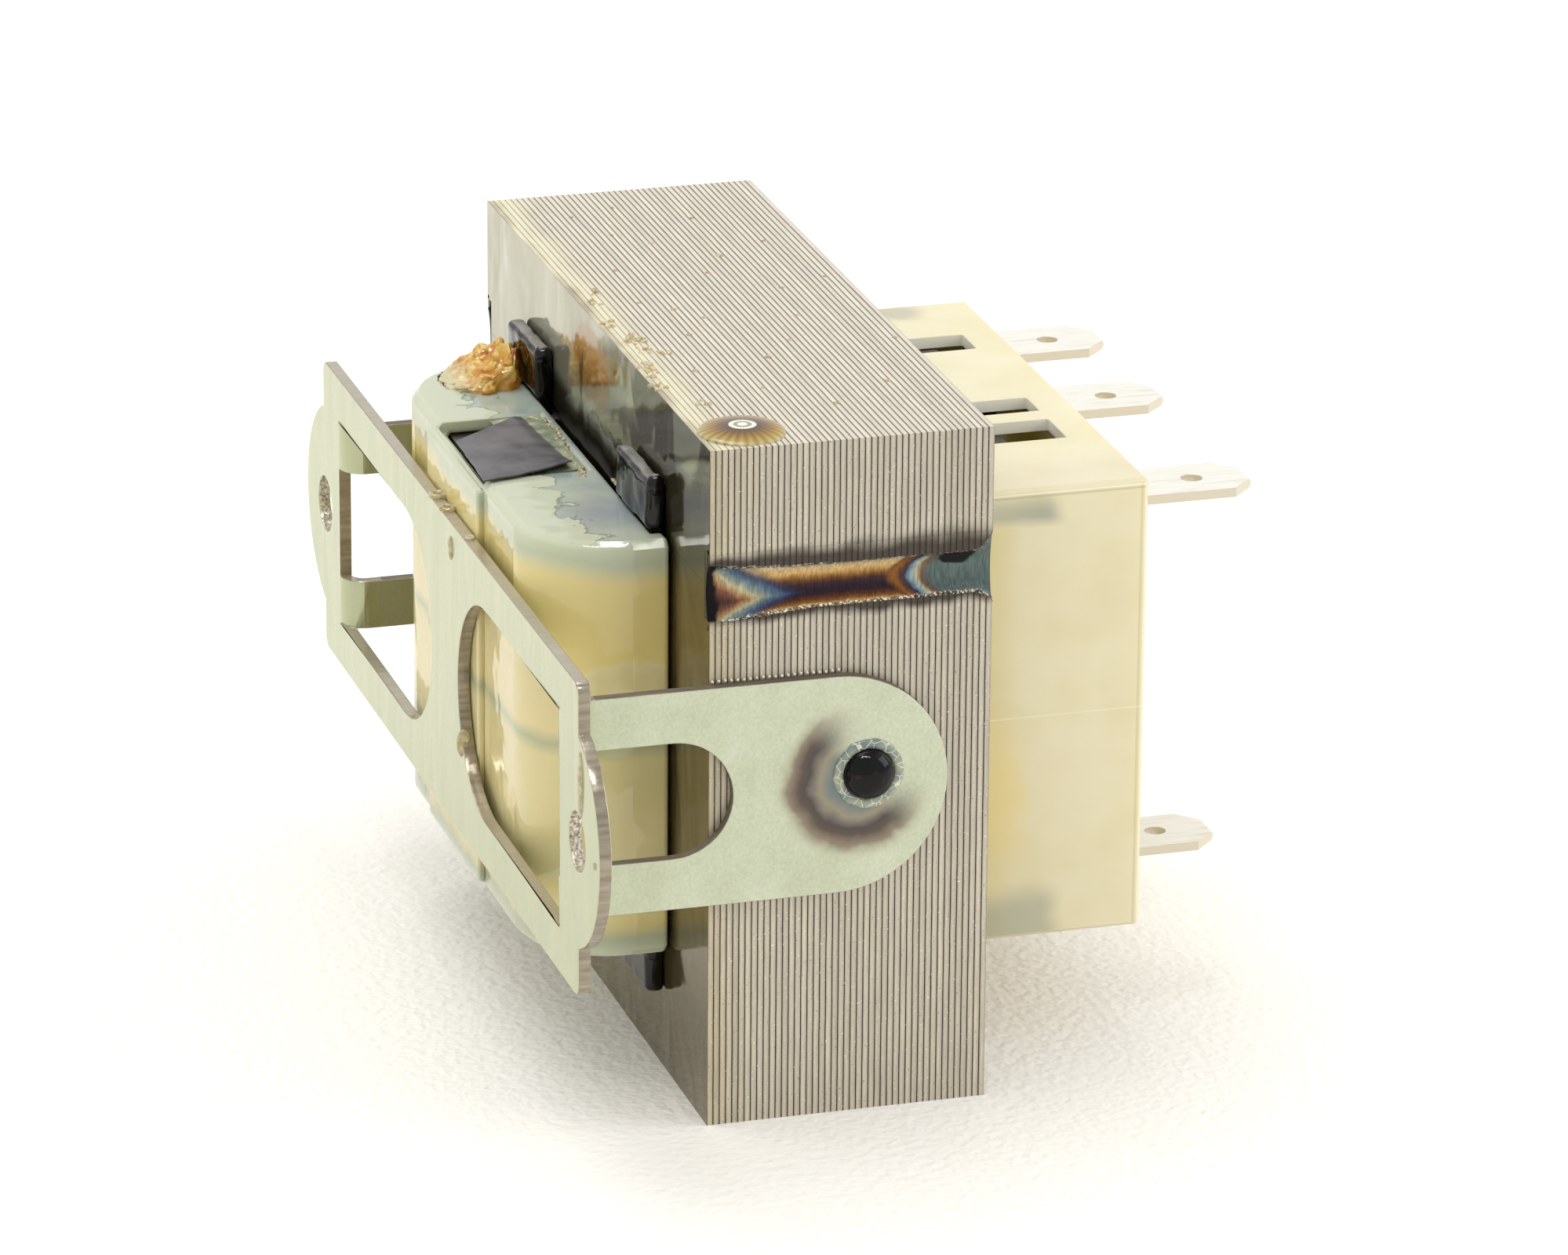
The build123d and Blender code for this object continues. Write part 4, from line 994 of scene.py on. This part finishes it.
# A drop of varnish: brown glass, darker towards its white ring, which is a painted highlight,
# with fine rays that are drawn fewer and wider than they are.
halo, shader, add, place = start_material("amber_varnish_drop", Roughness=0.05)
from_middle = add("VectorMath", place, tuple(drop_middle), operation="SUBTRACT")
flat = add("VectorMath", from_middle, (1.0, 1.0, 0.0), operation="MULTIPLY")
far = add("VectorMath", flat, operation="LENGTH").outputs["Value"]
share = add("Math", far, 1 / drop_radius, operation="MULTIPLY")
turn = add("TexGradient", {"Vector": from_middle}, gradient_type="RADIAL")
rays = add("Math", turn, 2 * pi * ray_count, operation="MULTIPLY")
rays = add("Math", rays, operation="SINE")
rays = add("MapRange", rays, -1.0, 1.0, 0.55, 1.15)
rings = add("ValToRGB", share, stops=(
    (0.09, "#fffdf0"), (0.13, "#a49e86"), (0.20, "#a49e86"), (0.23, "#fffbe8"), (0.29, "#fffbe8"),
    (0.33, "#4a3210"), (0.52, "#6f4d14"), (0.72, "#987427"), (0.90, "#b39a4e"), (1.0, "#bdb084"),
))
rayed = add("MixRGB", 0.7, rings, rays, blend_type="MULTIPLY")
feed(shader, {"Base Color": rayed})
bpy.ops.mesh.primitive_uv_sphere_add(segments=72, ring_count=36, radius=1.0)
drop = bpy.context.object
for vertex in drop.data.vertices:
    wobble = 1 + 0.05 * noise.noise(vertex.co * 1.6)
    reach = drop_radius * wobble
    rise = drop_rise if vertex.co.z > 0 else 0.0
    vertex.co = drop_middle + Vector((vertex.co.x * reach, vertex.co.y * reach, vertex.co.z * rise))
bpy.ops.object.shade_smooth()
finish_piece(drop, "varnish_drop_lens", halo, "varnish", "varnish_drop")

# Clear varnish: straw-coloured glass, which is seen by its highlights.
clear, shader, add, place = start_material(
    "clear_amber_varnish", Roughness=0.04, Transmission_Weight=0.5, IOR=1.5,
)
depths = add("TexNoise", {"Vector": place, "Scale": 1 / (0.5 * mm), "Detail": 2.0})
hue = add("ValToRGB", depths, stops=((0.35, "#cbb57a"), (0.65, "#f4ecc8")))
feed(shader, {"Base Color": hue})

bubble_level = bracket_high[2] + 0.1 * mm
bubble_places = ((-22.9, 4.1, 0.55), (-22.95, 0.8, 0.5), (-23.0, -6.4, 0.28))
for index, (x, y, radius) in enumerate(bubble_places, start=1):
    bpy.ops.mesh.primitive_torus_add(
        location=(x * mm, y * mm, bubble_level), major_radius=radius * mm, minor_radius=0.45 * radius * mm,
        major_segments=32, minor_segments=16,
    )
    bpy.ops.object.shade_smooth()
    finish_piece(bpy.context.object, f"varnish_bubble_{index}", clear, "varnish")

bead_places = (
    ((-23.5, -2.3, 38.0), (0.25, 0.55, 1.0)), ((-23.3, -5.2, 22.6), (0.6, 0.5, 1.2)),
    ((-23.5, -41.0, 32.4), (0.22, 0.7, 2.7)), ((-23.5, -45.0, 27.4), (0.15, 0.3, 0.3)),
)
for index, (spot, spread) in enumerate(bead_places, start=1):
    bpy.ops.mesh.primitive_uv_sphere_add(segments=32, ring_count=16, radius=mm, location=Vector(spot) * mm)
    bead = bpy.context.object
    bead.scale = spread
    bpy.ops.object.shade_smooth()
    finish_piece(bead, f"varnish_bead_{index}", clear, "varnish")


def scatter(name, material, spots, squash):
    """Small faceted drops or crumbs, each at its own place and size, joined into one piece."""
    bpy.ops.object.select_all(action="DESELECT")
    made = []
    for index, (x, y, z, radius) in enumerate(spots):
        spot = Vector((x, y, z)) * mm
        bpy.ops.mesh.primitive_ico_sphere_add(subdivisions=2, radius=radius * mm, location=spot)
        crumb = bpy.context.object
        for vertex in crumb.data.vertices:
            vertex.co *= 1 + 0.3 * noise.noise(vertex.co / (0.8 * radius * mm) + Vector((index, 0, 0)))
            vertex.co.z *= squash
        made.append(crumb)
    for crumb in made:
        crumb.select_set(True)
    bpy.ops.object.join()
    bpy.ops.object.shade_smooth_by_angle(angle=radians(50))
    finish_piece(bpy.context.object, name, material, "varnish")


# Rings of small crystals where the film dried on the core's top, five to each place.
crystal_places = (
    (-10.2, -1.6), (-9.6, -5.0), (-9.0, -6.2), (-8.3, -9.2), (-10.3, -11.7), (-10.5, -14.6),
    (-10.8, -16.9), (-8.4, -22.3), (-10.0, 4.6), (-9.2, 7.0), (-9.9, -5.9), (-9.3, -8.1), (-10.6, -13.0),
)
top_level = core_top / mm
crystals = []
for index, (x, y) in enumerate(crystal_places):
    for step in range(5):
        turn = 2.4 * index + 1.26 * step
        away = 0.0 if step == 0 else 0.45 + 0.28 * sin(5.1 * index + step)
        radius = 0.21 + 0.08 * sin(3.1 * index + step)
        crystals.append((x + away * cos(turn), y + 1.5 * away * sin(turn), top_level, radius))
scatter("varnish_crystals", clear, crystals, 0.8)

# Single specks of varnish all over the core's top.
speck_places = (
    (-4.4, 1.0), (-5.0, -5.5), (-2.6, -1.6), (-3.9, 21.2), (-1.4, 18.3), (10.3, -10.3), (-6.2, 12.0),
    (0.8, 9.5), (3.6, 24.0), (-7.0, -14.2), (-3.1, -19.5), (2.2, -8.8), (5.4, 4.2), (7.6, 16.5),
    (1.2, -24.6), (6.6, -20.4), (-0.6, -12.4), (-5.8, 26.8), (8.8, -27.0), (4.5, -3.0), (-6.6, 3.4),
    (9.6, 6.2), (-1.9, 28.4), (3.0, 13.6),
)
scatter("varnish_specks", clear, [(x, y, top_level, 0.22 + 0.06 * sin(7 * x)) for x, y in speck_places], 0.5)

# Crumbs of glue along the hood's rim and round the tape: each run's start, stop, width and count.
rim_level = hood_high[2] / mm
glue_runs = (
    ((-11.9, -8.0), (-12.1, -20.5), 0.12, 26), ((-14.3, 8.4), (-13.1, 6.8), 0.3, 8),
    ((-13.1, 6.8), (-13.7, -5.0), 0.35, 30), ((-13.6, -4.6), (-14.2, -7.2), 0.6, 14),
)
glue_line = []
for start, stop, width, count in glue_runs:
    for step in range(count):
        share = (step + 0.8 * noise.noise(Vector((step * 1.7, width * 9, 0)))) / count
        wander = width * 1.6 * noise.noise(Vector((step * 0.9, 4.0, width * 7)))
        x = start[0] + (stop[0] - start[0]) * share + wander
        y = start[1] + (stop[1] - start[1]) * share
        glue_line.append((x, y, rim_level - 0.02, 0.13 + 0.1 * abs(sin(5.3 * step))))
scatter("glue_crumbs", clear, glue_line, 0.7)

# A row of small bright beads along the near arm's top edge, where it meets the plates. They
# stand in for the glints of the plates' edges there, a painted highlight made of beads.
arm_top, row_start, row_y = 36.42, -11.0, -33.1
bead_count, bead_pitch, bead_radius = 21, 0.5, 0.14
glint_bead_row = []
for step in range(bead_count):
    level = arm_top + 0.12 + 0.03 * sin(step)
    glint_bead_row.append((row_start + bead_pitch * step, row_y, level, bead_radius))
scatter("arm_edge_glint_beads", tin, glint_bead_row, 1.0)
